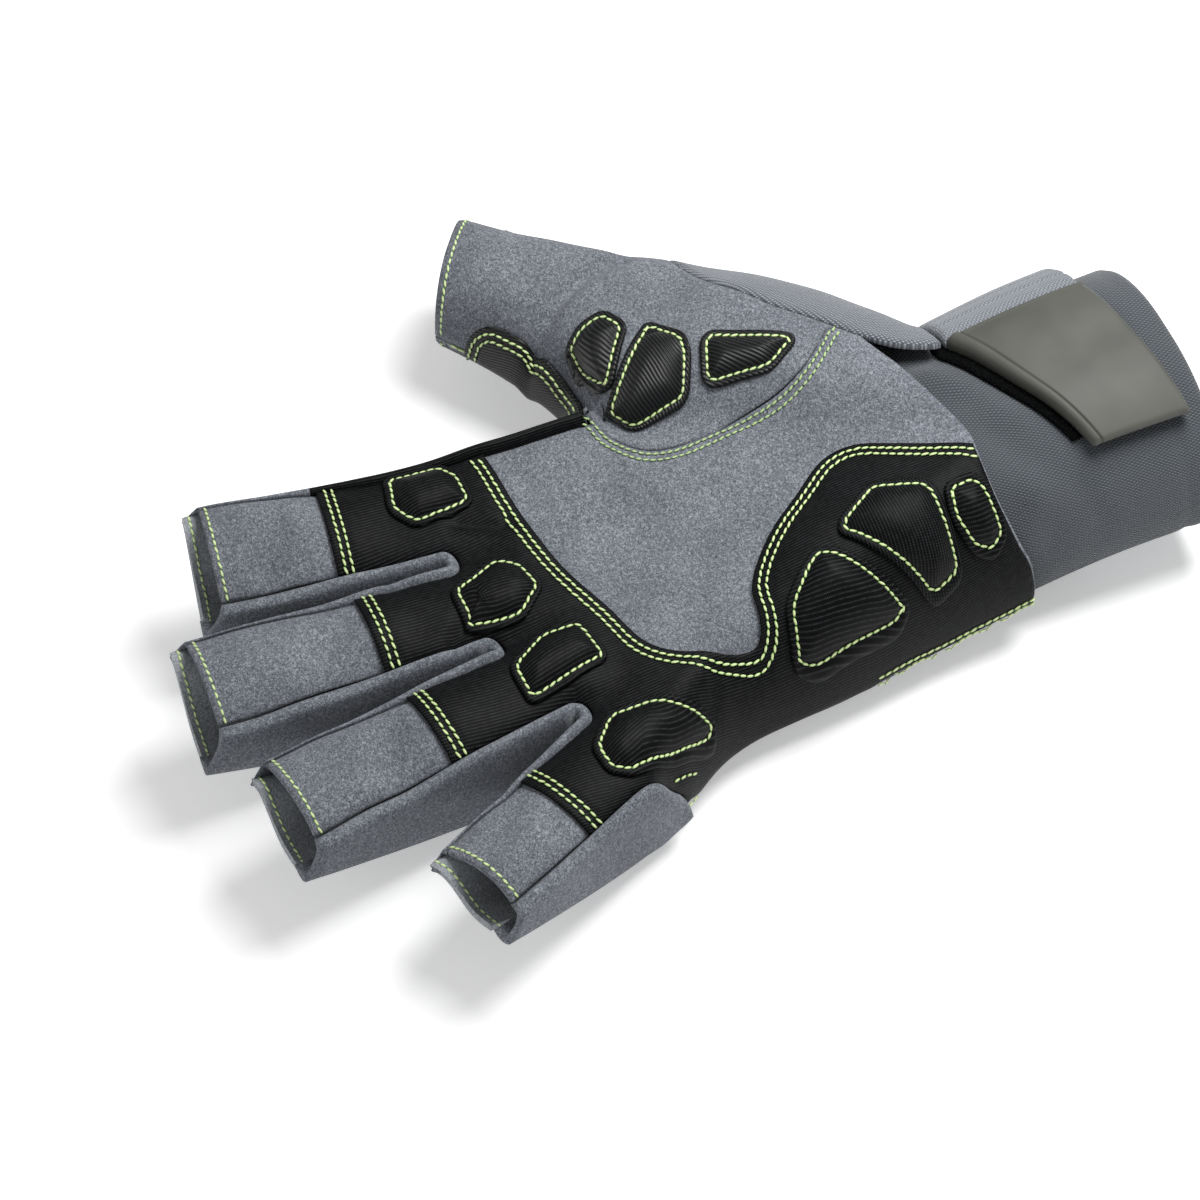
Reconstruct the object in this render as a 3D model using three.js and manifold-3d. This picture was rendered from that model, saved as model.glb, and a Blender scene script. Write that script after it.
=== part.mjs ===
// Short-finger sailing glove for the right hand, lying palm up and filled as if worn.
// Millimetres. X runs to the thumb, Y to the fingertips, Z up out of the palm.
// The hand is described as an upper and a lower skin over one plan, and every panel is a
// piece of a skin with its own wall, cut along the seam lines that it shares with its neighbours.
import * as THREE from 'three';
import { mergeVertices } from 'three/addons/utils/BufferGeometryUtils.js';
import Module from 'manifold-3d';

const wasm = await Module();
wasm.setup();

// Walls and clearances
const SUEDE_WALL = 1.2;
const KNIT_WALL = 1.6;
const PATCH_WALL = 0.8;
const PAD_RISE = 2.0;
const PAD_EDGE = 0.8;
const SEAM_GAP = 0.3;
const LAP_GAP = 0.3;
const SMALLEST_EDGE = 0.02; // corners of a cut closer than this are joined
const ROLL = 3.2;
const ROLL_PUFF = 0.4;
const HEM_LIP = 4.5;
const CUFF_INSET = 2.4;
const CUFF_WALL = 2.2;
const STRAP_WALL = 2.4;
const TAB_WALL = 2.6;
const HOOK_WALL = 1.0;

// Main lengths of the hand
const WRIST_Y = -74;
const CUFF_END_Y = -122;
const CUFF_LAP = 7;
const WEB_X = 38.5;
const WEB_Y = -11;

// Finger roots, from the index's thumb side to the little finger's outer side
const ROOTS = [
  { x: 40.0, y: 31.0 },
  { x: 14.5, y: 26.5 },
  { x: -7.0, y: 25.5 },
  { x: -26.5, y: 15.5 },
  { x: -46.0, y: 4.0 },
];

// Each finger: splay in degrees, length past its root, half width at the opening, then the
// height of its front and of its back at the root and at the opening, and the rise of its thumb side
const FINGERS = [
  { name: 'index', splay: 6.5, length: 39.0, half: 11.8, front0: 27.0, front1: 30.5, back0: 1.0, back1: 16.0, roll: 2.6 },
  { name: 'middle', splay: 0.0, length: 52.0, half: 11.7, front0: 27.0, front1: 31.0, back0: 1.0, back1: 14.0, roll: 0.8 },
  { name: 'ring', splay: -10.0, length: 51.0, half: 11.3, front0: 27.0, front1: 30.0, back0: 1.0, back1: 15.0, roll: 0.3 },
  { name: 'pinky', splay: -26.0, length: 38.0, half: 10.5, front0: 26.0, front1: 28.5, back0: 2.0, back1: 15.5, roll: 0.0 },
];
const FRONT_CROWN = 4.2;
const BACK_CROWN = 3.0;

// The hand along Y: outer side, thumb side, side height, front height, back height, side rounding
const HAND = [
  { y: -125, outer: -27, inner: 38, side: 18, front: 43, back: 3, round: 30 },
  { y: -100, outer: -26.5, inner: 37, side: 16, front: 42, back: 3, round: 28 },
  { y: -80, outer: -26.5, inner: 35, side: 12, front: 39, back: 2, round: 23 },
  { y: -62, outer: -27.5, inner: 33, side: 8.5, front: 35, back: 0, round: 18 },
  { y: -40, outer: -30.5, inner: 33, side: 7, front: 31, back: 0, round: 14 },
  { y: -15, outer: -33.5, inner: 37, side: 7, front: 28, back: 0, round: 12 },
  { y: 2, outer: -43, inner: 40, side: 7, front: 27, back: 0, round: 11 },
  { y: 10, outer: -51, inner: 42, side: 8, front: 27, back: 0, round: 10 },
  { y: 40, outer: -65, inner: 52, side: 13, front: 27, back: 0, round: 10 },
  { y: 90, outer: -66, inner: 56, side: 13, front: 27, back: 0, round: 10 },
];

// Soft swellings of the front: centre, half sizes, turn in degrees, height
const SWELLS = [
  { x: -14, y: -46, long: 24, wide: 15, turn: 10, height: 3.5 },
  { x: 4, y: -16, long: 16, wide: 20, turn: 0, height: -1.5 },
];

// The thumb along its own line: near side, far side, side height, rise of front, drop of back
const THUMB_ROOT = { x: 51.4, y: -33.1 };
const THUMB_TURN = 43;
const THUMB_OPENING = 46.5;
const THUMB_SLANT = 0.12;
const THUMB = [
  { along: -56, near: -16, far: 20, side: 12, rise: 27, drop: 9 },
  { along: -35, near: -19, far: 23, side: 11, rise: 28.5, drop: 11 },
  { along: -15, near: -24, far: 25, side: 10, rise: 28.5, drop: 10 },
  { along: 0, near: -29, far: 24.5, side: 10, rise: 25.5, drop: 9.5 },
  { along: 6, near: -24.5, far: 23, side: 11, rise: 24, drop: 9.5 },
  { along: 14, near: -18.5, far: 21, side: 12, rise: 22, drop: 9 },
  { along: 30, near: -14.2, far: 18.4, side: 15, rise: 17.5, drop: 8 },
  { along: 50, near: -11.8, far: 16, side: 18, rise: 14, drop: 7 },
];

// Share of each finger's length where the black tongue ends
const TONGUES = [0.415, 0.37, 0.43, 0.48];

// Strap and its rubber tab across the palm side of the wrist
const STRAP_EDGE_Y = -81;
const TAB_SLANT = 0.47;
const STRAP_WIDE = 30;
const TAB_START_X = 19.5;
const TAB_END_X = -14;

// Padded pieces in plan: the skin that carries them and their corners
const PADS = [
  {
    name: 'pad_index',
    on: 'patch',
    corners: [[36.8, 30.8], [36.6, 19], [32.4, 15.8], [24.6, 15.8], [23.2, 28.6], [28.6, 32.8]],
  },
  {
    name: 'pad_middle',
    on: 'patch',
    corners: [[6.8, 28.4], [11.8, 17], [8.6, 12.4], [1.4, 10.6], [-3.6, 16.6], [-2.6, 28.2]],
  },
  {
    name: 'pad_ring',
    on: 'patch',
    corners: [[-13.6, 24.2], [-7.8, 15.4], [-8, 7], [-18.4, 5.2], [-22.4, 23.4]],
  },
  {
    name: 'pad_pinky',
    on: 'patch',
    corners: [[-35.6, 16.2], [-29, 10.2], [-28.6, 1.6], [-33, -9.2], [-36, -7.6], [-43.4, 11], [-41.8, 15.6]],
  },
  {
    name: 'heel_pad_outer',
    on: 'patch',
    corners: [[-14, -38], [-15.2, -41.6], [-25.4, -53], [-27.6, -50], [-30.2, -32], [-29.2, -27], [-21, -28.8]],
  },
  {
    name: 'heel_pad_middle',
    on: 'patch',
    corners: [[-5.2, -53.6], [-10, -64], [-23.8, -64.9], [-26, -57.2], [-13.4, -43.4], [-10.6, -44.6]],
  },
  {
    name: 'heel_pad_wrist',
    on: 'patch',
    corners: [[-11.4, -65.4], [-10.6, -71.6], [-13, -74], [-20.8, -75.4], [-23, -71.8], [-21.8, -67.2], [-17, -64.4]],
  },
  {
    name: 'thenar_pad_upper',
    on: 'thumb',
    corners: [[53.8, -14.2], [55.8, -18], [55.4, -23.4], [49.6, -26.2], [39.6, -19], [40.8, -17], [46.4, -14.8]],
  },
  {
    name: 'thenar_pad_middle',
    on: 'thumb',
    corners: [[48.8, -29.6], [42, -35], [37.4, -34.6], [29.8, -31], [30.2, -19], [36.2, -15.8], [38.4, -17.8], [44.8, -24.6]],
  },
  {
    name: 'thenar_pad_wrist',
    on: 'thumb',
    corners: [[38.6, -36.6], [40, -39.4], [32, -53.6], [29.6, -53.4], [26.2, -47], [29.4, -35.6], [31.8, -34.2]],
  },
];
const PAD_CORNER = 0.32;
const PAD_BORDER = 1.4;

// Inner edge of the black patch round the bare suede of the palm
const PATCH_WINDOW = [
  { x: 50, y: 13 },
  { x: 34, y: 10 },
  { x: 22.8, y: 9 },
  { x: 11, y: 7.2 },
  { x: 1.5, y: 4.6 },
  { x: -7, y: 1.2 },
  { x: -17.5, y: -2.6 },
  { x: -21.6, y: -7 },
  { x: -25.2, y: -16 },
  { x: -24.6, y: -22.4 },
  { x: -15, y: -25.2 },
  { x: -8, y: -30.6 },
  { x: 0.4, y: -41.2 },
  { x: 5.4, y: -49 },
  { x: 5.6, y: -55 },
  { x: 1.8, y: -62.0 },
  { x: -5.6, y: -75.0 },
  { x: -22, y: -100 },
];

// Upper edge of the web patch, from the thumb's near side to the web
const WEB_EDGE = [
  { x: 58, y: 14 },
  { x: 66.2, y: 6.4 },
  { x: 68.2, y: 2.4 },
  { x: 66.6, y: -1.4 },
  { x: 61.5, y: -6.4 },
  { x: 53, y: -10.6 },
  { x: 47, y: -11.8 },
  { x: 42, y: -12.0 },
  { x: 38.6, y: -11.6 },
  { x: 35, y: -6 },
];

// Colours of the cloths
const SUEDE = 0x5d6066;
const KNIT = 0x666a70;
const BLACK = 0x17181a;
const RUBBER = 0x4a4c46;

const mix = (a, b, t) => a + (b - a) * t;
const clamp = (v, a, b) => Math.min(b, Math.max(a, v));
const smooth = (a, b, v) => {
  const t = clamp((v - a) / (b - a), 0, 1);
  return t * t * (3 - 2 * t);
};
const blendMax = (a, b, k) => {
  const h = Math.max(k - Math.abs(a - b), 0) / k;
  return Math.max(a, b) + h * h * k * 0.25;
};
const blendMin = (a, b, k) => -blendMax(-a, -b, k);

// Row of a table at a value of its key, with soft steps between the rows
function rowAt(table, key, value) {
  const last = table.length - 1;
  const v = clamp(value, table[0][key], table[last][key]);
  let i = 0;
  while (i < last - 1 && v > table[i + 1][key]) i += 1;
  const t = (v - table[i][key]) / (table[i + 1][key] - table[i][key]);
  const row = {};
  for (const name of Object.keys(table[i])) {
    const before = table[Math.max(i - 1, 0)];
    const after = table[Math.min(i + 2, last)];
    const a = table[i];
    const b = table[i + 1];
    const slopeA = (b[name] - before[name]) / (b[key] - before[key]) * (b[key] - a[key]);
    const slopeB = (after[name] - a[name]) / (after[key] - a[key]) * (b[key] - a[key]);
    const t2 = t * t;
    const t3 = t2 * t;
    row[name] = (2 * t3 - 3 * t2 + 1) * a[name] + (t3 - 2 * t2 + t) * slopeA
      + (3 * t2 - 2 * t3) * b[name] + (t3 - t2) * slopeB;
  }
  return row;
}

// Finger plan: root centre, line of the finger, side direction to the thumb, half widths
const fingerPlans = FINGERS.map((finger, i) => {
  const far = ROOTS[i];
  const near = ROOTS[i + 1];
  const turn = THREE.MathUtils.degToRad(finger.splay);
  const d = { x: Math.sin(turn), y: Math.cos(turn) };
  const n = { x: d.y, y: -d.x };
  const half0 = ((far.x - near.x) * n.x + (far.y - near.y) * n.y) / 2;
  return { ...finger, i, far, near, d, n, half0, x: (far.x + near.x) / 2, y: (far.y + near.y) / 2 };
});
function fingerPlace(f, x, y) {
  const s = ((x - f.x) * f.d.x + (y - f.y) * f.d.y) / f.length;
  const t = (x - f.x) * f.n.x + (y - f.y) * f.n.y;
  return { s, q: t / mix(f.half0, f.half, clamp(s, -0.6, 1.1)) };
}
function fingerPoint(f, s, side, inset) {
  const reach = side * (mix(f.half0, f.half, s) - inset);
  return { x: f.x + f.d.x * s * f.length + f.n.x * reach, y: f.y + f.d.y * s * f.length + f.n.y * reach };
}
const fingerFront = (f, x, y) => {
  const { s, q } = fingerPlace(f, x, y);
  return mix(f.front0, f.front1, smooth(-0.3, 1.2, s)) + f.roll * q * smooth(-0.2, 1, s) - FRONT_CROWN * Math.min(Math.abs(q), 3) ** 2.2;
};
const fingerBack = (f, x, y) => {
  const { s, q } = fingerPlace(f, x, y);
  return mix(f.back0, f.back1, clamp(s, 0, 1.3) ** 1.3) + f.roll * q * smooth(-0.2, 1, s) + BACK_CROWN * Math.min(Math.abs(q), 3) ** 2.2;
};

// Line of the finger roots across the hand
function rootLine(x) {
  const inner = ROOTS[0];
  const outer = ROOTS[4];
  const t = clamp((x - outer.x) / (inner.x - outer.x), -0.2, 1.2);
  return mix(outer.y, inner.y, t) + 6.5 * Math.sin(Math.PI * clamp(t, 0, 1));
}

// Quarter-round fall towards a side, by the distance from it
const roundOff = (distance, radius) => {
  const t = 1 - clamp(distance / radius, 0, 1);
  return Math.sqrt(Math.max(0, 1 - t * t));
};

function handFront(x, y) {
  const row = rowAt(HAND, 'y', y);
  const fromRoot = y - rootLine(x);
  let z = row.front;
  for (const swell of SWELLS) {
    const turn = THREE.MathUtils.degToRad(swell.turn);
    const u = ((x - swell.x) * Math.cos(turn) + (y - swell.y) * Math.sin(turn)) / swell.wide;
    const v = (-(x - swell.x) * Math.sin(turn) + (y - swell.y) * Math.cos(turn)) / swell.long;
    z += swell.height * Math.exp(-(u * u + v * v));
  }
  let fingers = fingerFront(fingerPlans[0], x, y);
  for (const f of fingerPlans.slice(1)) fingers = blendMax(fingers, fingerFront(f, x, y), 2.5);
  z = mix(z, fingers, smooth(-20, 3, fromRoot));
  const outer = mix(roundOff(x - row.outer, row.round), 1, smooth(-2, 6, fromRoot));
  const inner = mix(roundOff(row.inner - x, row.round), 1, smooth(WEB_Y - 12, WEB_Y - 1, y));
  return row.side + SEAM_GAP / 2 + (z - row.side) * outer * inner;
}
function handBack(x, y) {
  const row = rowAt(HAND, 'y', y);
  const fromRoot = y - rootLine(x);
  let fingers = fingerBack(fingerPlans[0], x, y);
  for (const f of fingerPlans.slice(1)) fingers = blendMin(fingers, fingerBack(f, x, y), 2.5);
  const z = mix(row.back, fingers, smooth(-14, 6, fromRoot));
  const outer = mix(roundOff(x - row.outer, row.round), 1, smooth(-2, 6, fromRoot));
  const inner = mix(roundOff(row.inner - x, row.round), 1, smooth(WEB_Y - 12, WEB_Y - 1, y));
  return row.side - SEAM_GAP / 2 + (z - row.side) * outer * inner;
}

// Thumb plan: distance along its line and sideways to its far side
const thumbTurn = THREE.MathUtils.degToRad(THUMB_TURN);
const thumbLine = { x: Math.sin(thumbTurn), y: Math.cos(thumbTurn) };
const thumbSide = { x: thumbLine.y, y: -thumbLine.x };
const thumbPlace = (x, y) => ({
  along: (x - THUMB_ROOT.x) * thumbLine.x + (y - THUMB_ROOT.y) * thumbLine.y,
  across: (x - THUMB_ROOT.x) * thumbSide.x + (y - THUMB_ROOT.y) * thumbSide.y,
});
const thumbPoint = (along, across) => ({
  x: THUMB_ROOT.x + thumbLine.x * along + thumbSide.x * across,
  y: THUMB_ROOT.y + thumbLine.y * along + thumbSide.y * across,
});
function thumbSkin(x, y, sign) {
  const { along, across } = thumbPlace(x, y);
  const row = rowAt(THUMB, 'along', along);
  const q = Math.abs((across - (row.near + row.far) / 2) / ((row.far - row.near) / 2));
  const bulge = q < 1 ? Math.sqrt(1 - q ** 2.5) : -6 * (q - 1);
  return row.side + sign * (SEAM_GAP / 2 + (sign > 0 ? row.rise : row.drop) * bulge);
}
// Beyond the web the hand's own skin falls away and leaves the thumb alone
const webFall = (x, y) => (y > WEB_Y - 4 ? 6 * Math.max(0, x - WEB_X - 1.5 - 0.16 * Math.max(0, y - WEB_Y)) : 0);
const frontAt = (x, y) => blendMax(handFront(x, y) - webFall(x, y), thumbSkin(x, y, 1), 6);
const backAt = (x, y) => Math.max(0, blendMin(handBack(x, y) + webFall(x, y), thumbSkin(x, y, -1), 5));

// Point at a distance off the front skin, along its normal
function offFront(x, y, distance) {
  const step = 0.4;
  const n = new THREE.Vector3(
    frontAt(x - step, y) - frontAt(x + step, y),
    frontAt(x, y - step) - frontAt(x, y + step),
    2 * step,
  ).normalize();
  return new THREE.Vector3(x, y, frontAt(x, y)).addScaledVector(n, distance);
}

// Closed wall over a grid of skin points, from one offset to another along the skin's normal.
// The normals lie level along the first column, and the last one too where it is a side.
function wall(place, across, rows, outward, low, high, lastIsSide = false) {
  const grid = [];
  for (let j = 0; j <= rows; j += 1) {
    for (let i = 0; i <= across; i += 1) grid.push(place(i / across, j / rows));
  }
  const at = (i, j) => grid[clamp(j, 0, rows) * (across + 1) + clamp(i, 0, across)];
  const positions = [];
  for (const offset of [low, high]) {
    for (let j = 0; j <= rows; j += 1) {
      for (let i = 0; i <= across; i += 1) {
        const du = at(i + 1, j).clone().sub(at(i - 1, j));
        const dv = at(i, j + 1).clone().sub(at(i, j - 1));
        const n = du.cross(dv).multiplyScalar(outward);
        if (i === 0 || (lastIsSide && i === across)) n.z = 0;
        n.normalize();
        const p = at(i, j).clone().addScaledVector(n, offset);
        positions.push(p.x, p.y, p.z);
      }
    }
  }
  const layer = (across + 1) * (rows + 1);
  const id = (k, i, j) => k * layer + j * (across + 1) + i;
  const index = [];
  const quad = (a, b, c, d) => {
    if (outward > 0) index.push(a, b, c, a, c, d);
    else index.push(a, c, b, a, d, c);
  };
  for (let j = 0; j < rows; j += 1) {
    for (let i = 0; i < across; i += 1) {
      quad(id(1, i, j), id(1, i + 1, j), id(1, i + 1, j + 1), id(1, i, j + 1));
      quad(id(0, i, j), id(0, i, j + 1), id(0, i + 1, j + 1), id(0, i + 1, j));
    }
  }
  for (let i = 0; i < across; i += 1) {
    quad(id(0, i, 0), id(0, i + 1, 0), id(1, i + 1, 0), id(1, i, 0));
    quad(id(1, i, rows), id(1, i + 1, rows), id(0, i + 1, rows), id(0, i, rows));
  }
  for (let j = 0; j < rows; j += 1) {
    quad(id(0, 0, j + 1), id(0, 0, j), id(1, 0, j), id(1, 0, j + 1));
    quad(id(1, across, j + 1), id(1, across, j), id(0, across, j), id(0, across, j + 1));
  }
  const geometry = new THREE.BufferGeometry();
  geometry.setAttribute('position', new THREE.Float32BufferAttribute(positions, 3));
  geometry.setIndex(index);
  return geometry;
}

function toSolid(geometry) {
  const plain = geometry.clone();
  plain.deleteAttribute('normal');
  plain.deleteAttribute('uv');
  const merged = mergeVertices(plain, 1e-4);
  return new wasm.Manifold(new wasm.Mesh({
    numProp: 3,
    vertProperties: new Float32Array(merged.attributes.position.array),
    triVerts: new Uint32Array(merged.index.array),
  }));
}
function toGeometry(solid) {
  const mesh = solid.simplify(SMALLEST_EDGE).getMesh();
  const geometry = new THREE.BufferGeometry();
  geometry.setAttribute('position', new THREE.Float32BufferAttribute(mesh.vertProperties, 3));
  geometry.setIndex(Array.from(mesh.triVerts));
  return geometry;
}

// Upright prism over a closed plan line
function prism(points) {
  const shape = new THREE.Shape(points.map((p) => new THREE.Vector2(p.x, p.y)));
  const geometry = new THREE.ExtrudeGeometry(shape, { depth: 160, bevelEnabled: false, steps: 1 });
  geometry.translate(0, 0, -60);
  return toSolid(geometry);
}

// Soft curve through plan points, open or closed, in even steps
function curve(points, steps, closed = false) {
  const line = new THREE.CatmullRomCurve3(points.map((p) => new THREE.Vector3(p.x, p.y, 0)), closed, 'centripetal');
  const out = line.getPoints(steps).map((p) => ({ x: p.x, y: p.y }));
  if (closed) out.pop();
  return out;
}

// Hand skin grid: close columns at the outer side, even ones over the palm and fingers
const HAND_COLUMNS = 16;
const HAND_ROWS = 27;
const BACK_ROWS = 21;
const SIDE_COLUMNS = 3;
const HAND_TOP_Y = 86;
const HAND_LOW_Y = -86;
const PALM_REACH_X = 46;
const TIP_REACH_X = 52;
function handGrid(skin) {
  return (u, v) => {
    const y = mix(HAND_LOW_Y, HAND_TOP_Y, v);
    const row = rowAt(HAND, 'y', y);
    const column = u * HAND_COLUMNS;
    const inner = mix(PALM_REACH_X, TIP_REACH_X, smooth(WEB_Y, WEB_Y + 30, y));
    let x = row.outer + row.round * (1 - Math.cos(Math.min(column / SIDE_COLUMNS, 1) * Math.PI / 2));
    if (column > SIDE_COLUMNS) {
      x = mix(x, inner, (column - SIDE_COLUMNS) / (HAND_COLUMNS - SIDE_COLUMNS));
    }
    return new THREE.Vector3(x, y, skin(x, y));
  };
}
const handWall = (skin, outward, low, high, rows = HAND_ROWS) =>
  wall(handGrid(skin), HAND_COLUMNS, rows, outward, low, high);

// Thumb skin grid: close columns at both sides, wider than the thumb over the palm
const THUMB_COLUMNS = 11;
const THUMB_ROWS = 18;
const THUMB_LOW = -58;
const PALM_LAP = 8;
function thumbGrid(skin, lip) {
  return (u, v) => {
    const q = -Math.cos(u * Math.PI);
    const reach = THUMB_OPENING + lip + THUMB_SLANT * q * 15;
    const along = mix(THUMB_LOW, reach, v);
    const row = rowAt(THUMB, 'along', along);
    const near = row.near - PALM_LAP * (1 - smooth(0, 5, along));
    const across = mix(near, row.far, (q + 1) / 2);
    const p = thumbPoint(along, across);
    return new THREE.Vector3(p.x, p.y, skin(p.x, p.y));
  };
}
const thumbWall = (skin, outward, low, high, lip = 0) =>
  wall(thumbGrid(skin, lip), THUMB_COLUMNS, THUMB_ROWS, outward, low, high, true);

// Seam lines in plan
const THUMB_SEAM = [
  { x: 31.2, y: -61.2 },
  { x: 28.4, y: -57.5 },
  { x: 24.8, y: -52.8 },
  { x: 22.8, y: -47.0 },
  { x: 22.8, y: -35.0 },
  { x: 22.8, y: -25.0 },
  { x: 25.0, y: -19.0 },
  { x: 30.0, y: -15.2 },
  { x: WEB_X, y: WEB_Y },
];
const WRIST_SEAM = [
  { x: -60.0, y: WRIST_Y - 8.5 },
  { x: -26.2, y: WRIST_Y - 6.5 },
  { x: -22.5, y: WRIST_Y - 3.8 },
  { x: -16.5, y: WRIST_Y - 1.6 },
  { x: -8.4, y: WRIST_Y - 1.2 },
  { x: -2.0, y: WRIST_Y - 1.6 },
  { x: 7.3, y: WRIST_Y + 0.9 },
  { x: 19.5, y: WRIST_Y + 5.2 },
  { x: 27.0, y: WRIST_Y + 8.2 },
  { x: 40.0, y: WRIST_Y + 12.0 },
];
const SUEDE_EDGE = [
  { x: 20.0, y: -71.0 },
  { x: 31.0, y: -62.2 },
  { x: 36.2, y: -58.0 },
  { x: 43.0, y: -52.3 },
  { x: 51.5, y: -46.2 },
  { x: 62.0, y: -43.0 },
  { x: 140.0, y: -40.0 },
];
const THUMB_DIVIDE = [
  { x: TAB_START_X - 6, y: STRAP_EDGE_Y - 20 },
  { x: TAB_START_X - 0.3, y: STRAP_EDGE_Y + 0.5 },
  { x: 22.8, y: -71.6 },
  { x: 27.2, y: -65.6 },
  ...THUMB_SEAM,
  { x: WEB_X + 1, y: 130 },
];
const strapStart = (x) => STRAP_EDGE_Y - TAB_SLANT * Math.max(0, TAB_START_X - x);
const KNIT_END = [0, 30, 50, 140].map((x) => ({ x, y: STRAP_EDGE_Y + 1 }));

// Plan region on one side of a line: the line closed by two far points
const FAR = 260;
function beside(line, toX, toY, gap) {
  const first = line[0];
  const last = line[line.length - 1];
  const edge = line.map((p) => ({ x: p.x + toX * gap, y: p.y + toY * gap }));
  return [
    ...edge,
    { x: last.x + toX * FAR, y: last.y + toY * FAR },
    { x: first.x + toX * FAR, y: first.y + toY * FAR },
  ];
}

// Seam between two neighbouring fingers, down one side, round the root and up the other
function rootSeam(i, inset, lip = 0) {
  const a = fingerPlans[i];
  const b = fingerPlans[i + 1];
  const root = ROOTS[i + 1];
  const sides = [1, 0.75, 0.5, 0.25];
  const down = sides.map((s) => fingerPoint(a, s === 1 ? 1 + lip / a.length : s, -1, inset));
  const start = Math.atan2(a.n.y, a.n.x);
  const end = Math.atan2(-b.n.y, -b.n.x) - (b.n.y < 0 ? 2 * Math.PI : 0);
  const round = [];
  for (let k = 0; k <= 5; k += 1) {
    const turn = mix(start, end > 0 ? end - 2 * Math.PI : end, k / 5);
    round.push({ x: root.x + inset * Math.cos(turn), y: root.y + inset * Math.sin(turn) });
  }
  const up = [...sides].reverse().map((s) => fingerPoint(b, s === 1 ? 1 + lip / b.length : s, 1, inset));
  return [...down, ...round, ...up];
}
function indexSeam(inset, lip = 0) {
  const f = fingerPlans[0];
  const base = [0, 0.25, 0.5, 0.75, 1].map((s) => fingerPoint(f, s === 1 ? 1 + lip / f.length : s, 1, inset));
  const web = [
    { x: WEB_X - inset, y: WEB_Y },
    { x: WEB_X - inset, y: WEB_Y + 10 },
    { x: WEB_X + 0.4 - inset, y: WEB_Y + 22 },
  ];
  return [...web, ...base.map((p, k) => (k === 0 ? { x: p.x, y: p.y } : p))];
}
function pinkySeam(inset, lip = 0) {
  const f = fingerPlans[3];
  const line = [1, 0.75, 0.5, 0.25, 0.02].map((s) => fingerPoint(f, s === 1 ? 1 + lip / f.length : s, -1, inset));
  return [...line, { x: ROOTS[4].x + inset + 1.2, y: ROOTS[4].y - 4 }];
}

// Plan of the hand inside the finger seams
function handPlan(inset, lip) {
  const points = [
    { x: -75, y: -110 },
    { x: 60, y: -110 },
    { x: 60, y: WEB_Y - 2 },
    { x: WEB_X - inset, y: WEB_Y - 2 },
    ...indexSeam(inset, lip),
  ];
  for (let i = 0; i < 3; i += 1) points.push(...rootSeam(i, inset, lip));
  const last = pinkySeam(inset, lip);
  points.push(...last, { x: last[last.length - 1].x, y: ROOTS[4].y - 6 }, { x: -75, y: ROOTS[4].y - 6 });
  return points;
}

const nodes = [];
const paint = (color, roughness) => new THREE.MeshStandardMaterial({ color, roughness, metalness: 0 });
function add(name, geometry, color, roughness = 0.95) {
  const shown = mergeVertices(geometry.clone(), 1e-4);
  shown.computeVertexNormals();
  const mesh = new THREE.Mesh(shown, paint(color, roughness));
  mesh.name = name;
  nodes.push(mesh);
}
const cutSheet = (sheet, plans) => toGeometry(plans.reduce((solid, plan) => solid.intersect(prism(plan)), toSolid(sheet)));

// Palm and back of the hand
const gap = SEAM_GAP / 2;
const divide = curve(THUMB_DIVIDE, 40);
const wristLine = curve(WRIST_SEAM, 18);
const suedeEdge = curve(SUEDE_EDGE, 14);
const knitEnd = curve(KNIT_END, 6);
const palmSide = beside(divide, -1, 0, gap);
const thumbSideOf = beside(divide, 1, 0, gap);
add('palm_panel', cutSheet(handWall(frontAt, 1, -SUEDE_WALL, 0),
  [handPlan(ROLL + gap, 0), palmSide, beside(wristLine, 0, 1, 0)]), SUEDE);
add('back_panel', cutSheet(handWall(backAt, -1, -KNIT_WALL, 0, BACK_ROWS),
  [handPlan(ROLL + gap, HEM_LIP), palmSide, beside(wristLine, 0, 1, 0)]), KNIT);

// Thumb: the suede front runs over the ball of the thumb, the back half closes the tube
add('thumb_panel', cutSheet(thumbWall(frontAt, 1, -SUEDE_WALL, 0),
  [thumbSideOf, beside(suedeEdge, 0, 1, gap)]), SUEDE);
add('thumb_back', cutSheet(thumbWall(backAt, -1, -SUEDE_WALL, 0),
  [thumbSideOf, beside(knitEnd, 0, 1, 0)]), SUEDE);
add('knit_side_panel', cutSheet(thumbWall(frontAt, 1, -KNIT_WALL, 0.2),
  [thumbSideOf, beside(suedeEdge, 0, -1, 2 * gap), beside(knitEnd, 0, 1, 0)]), KNIT);

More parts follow.
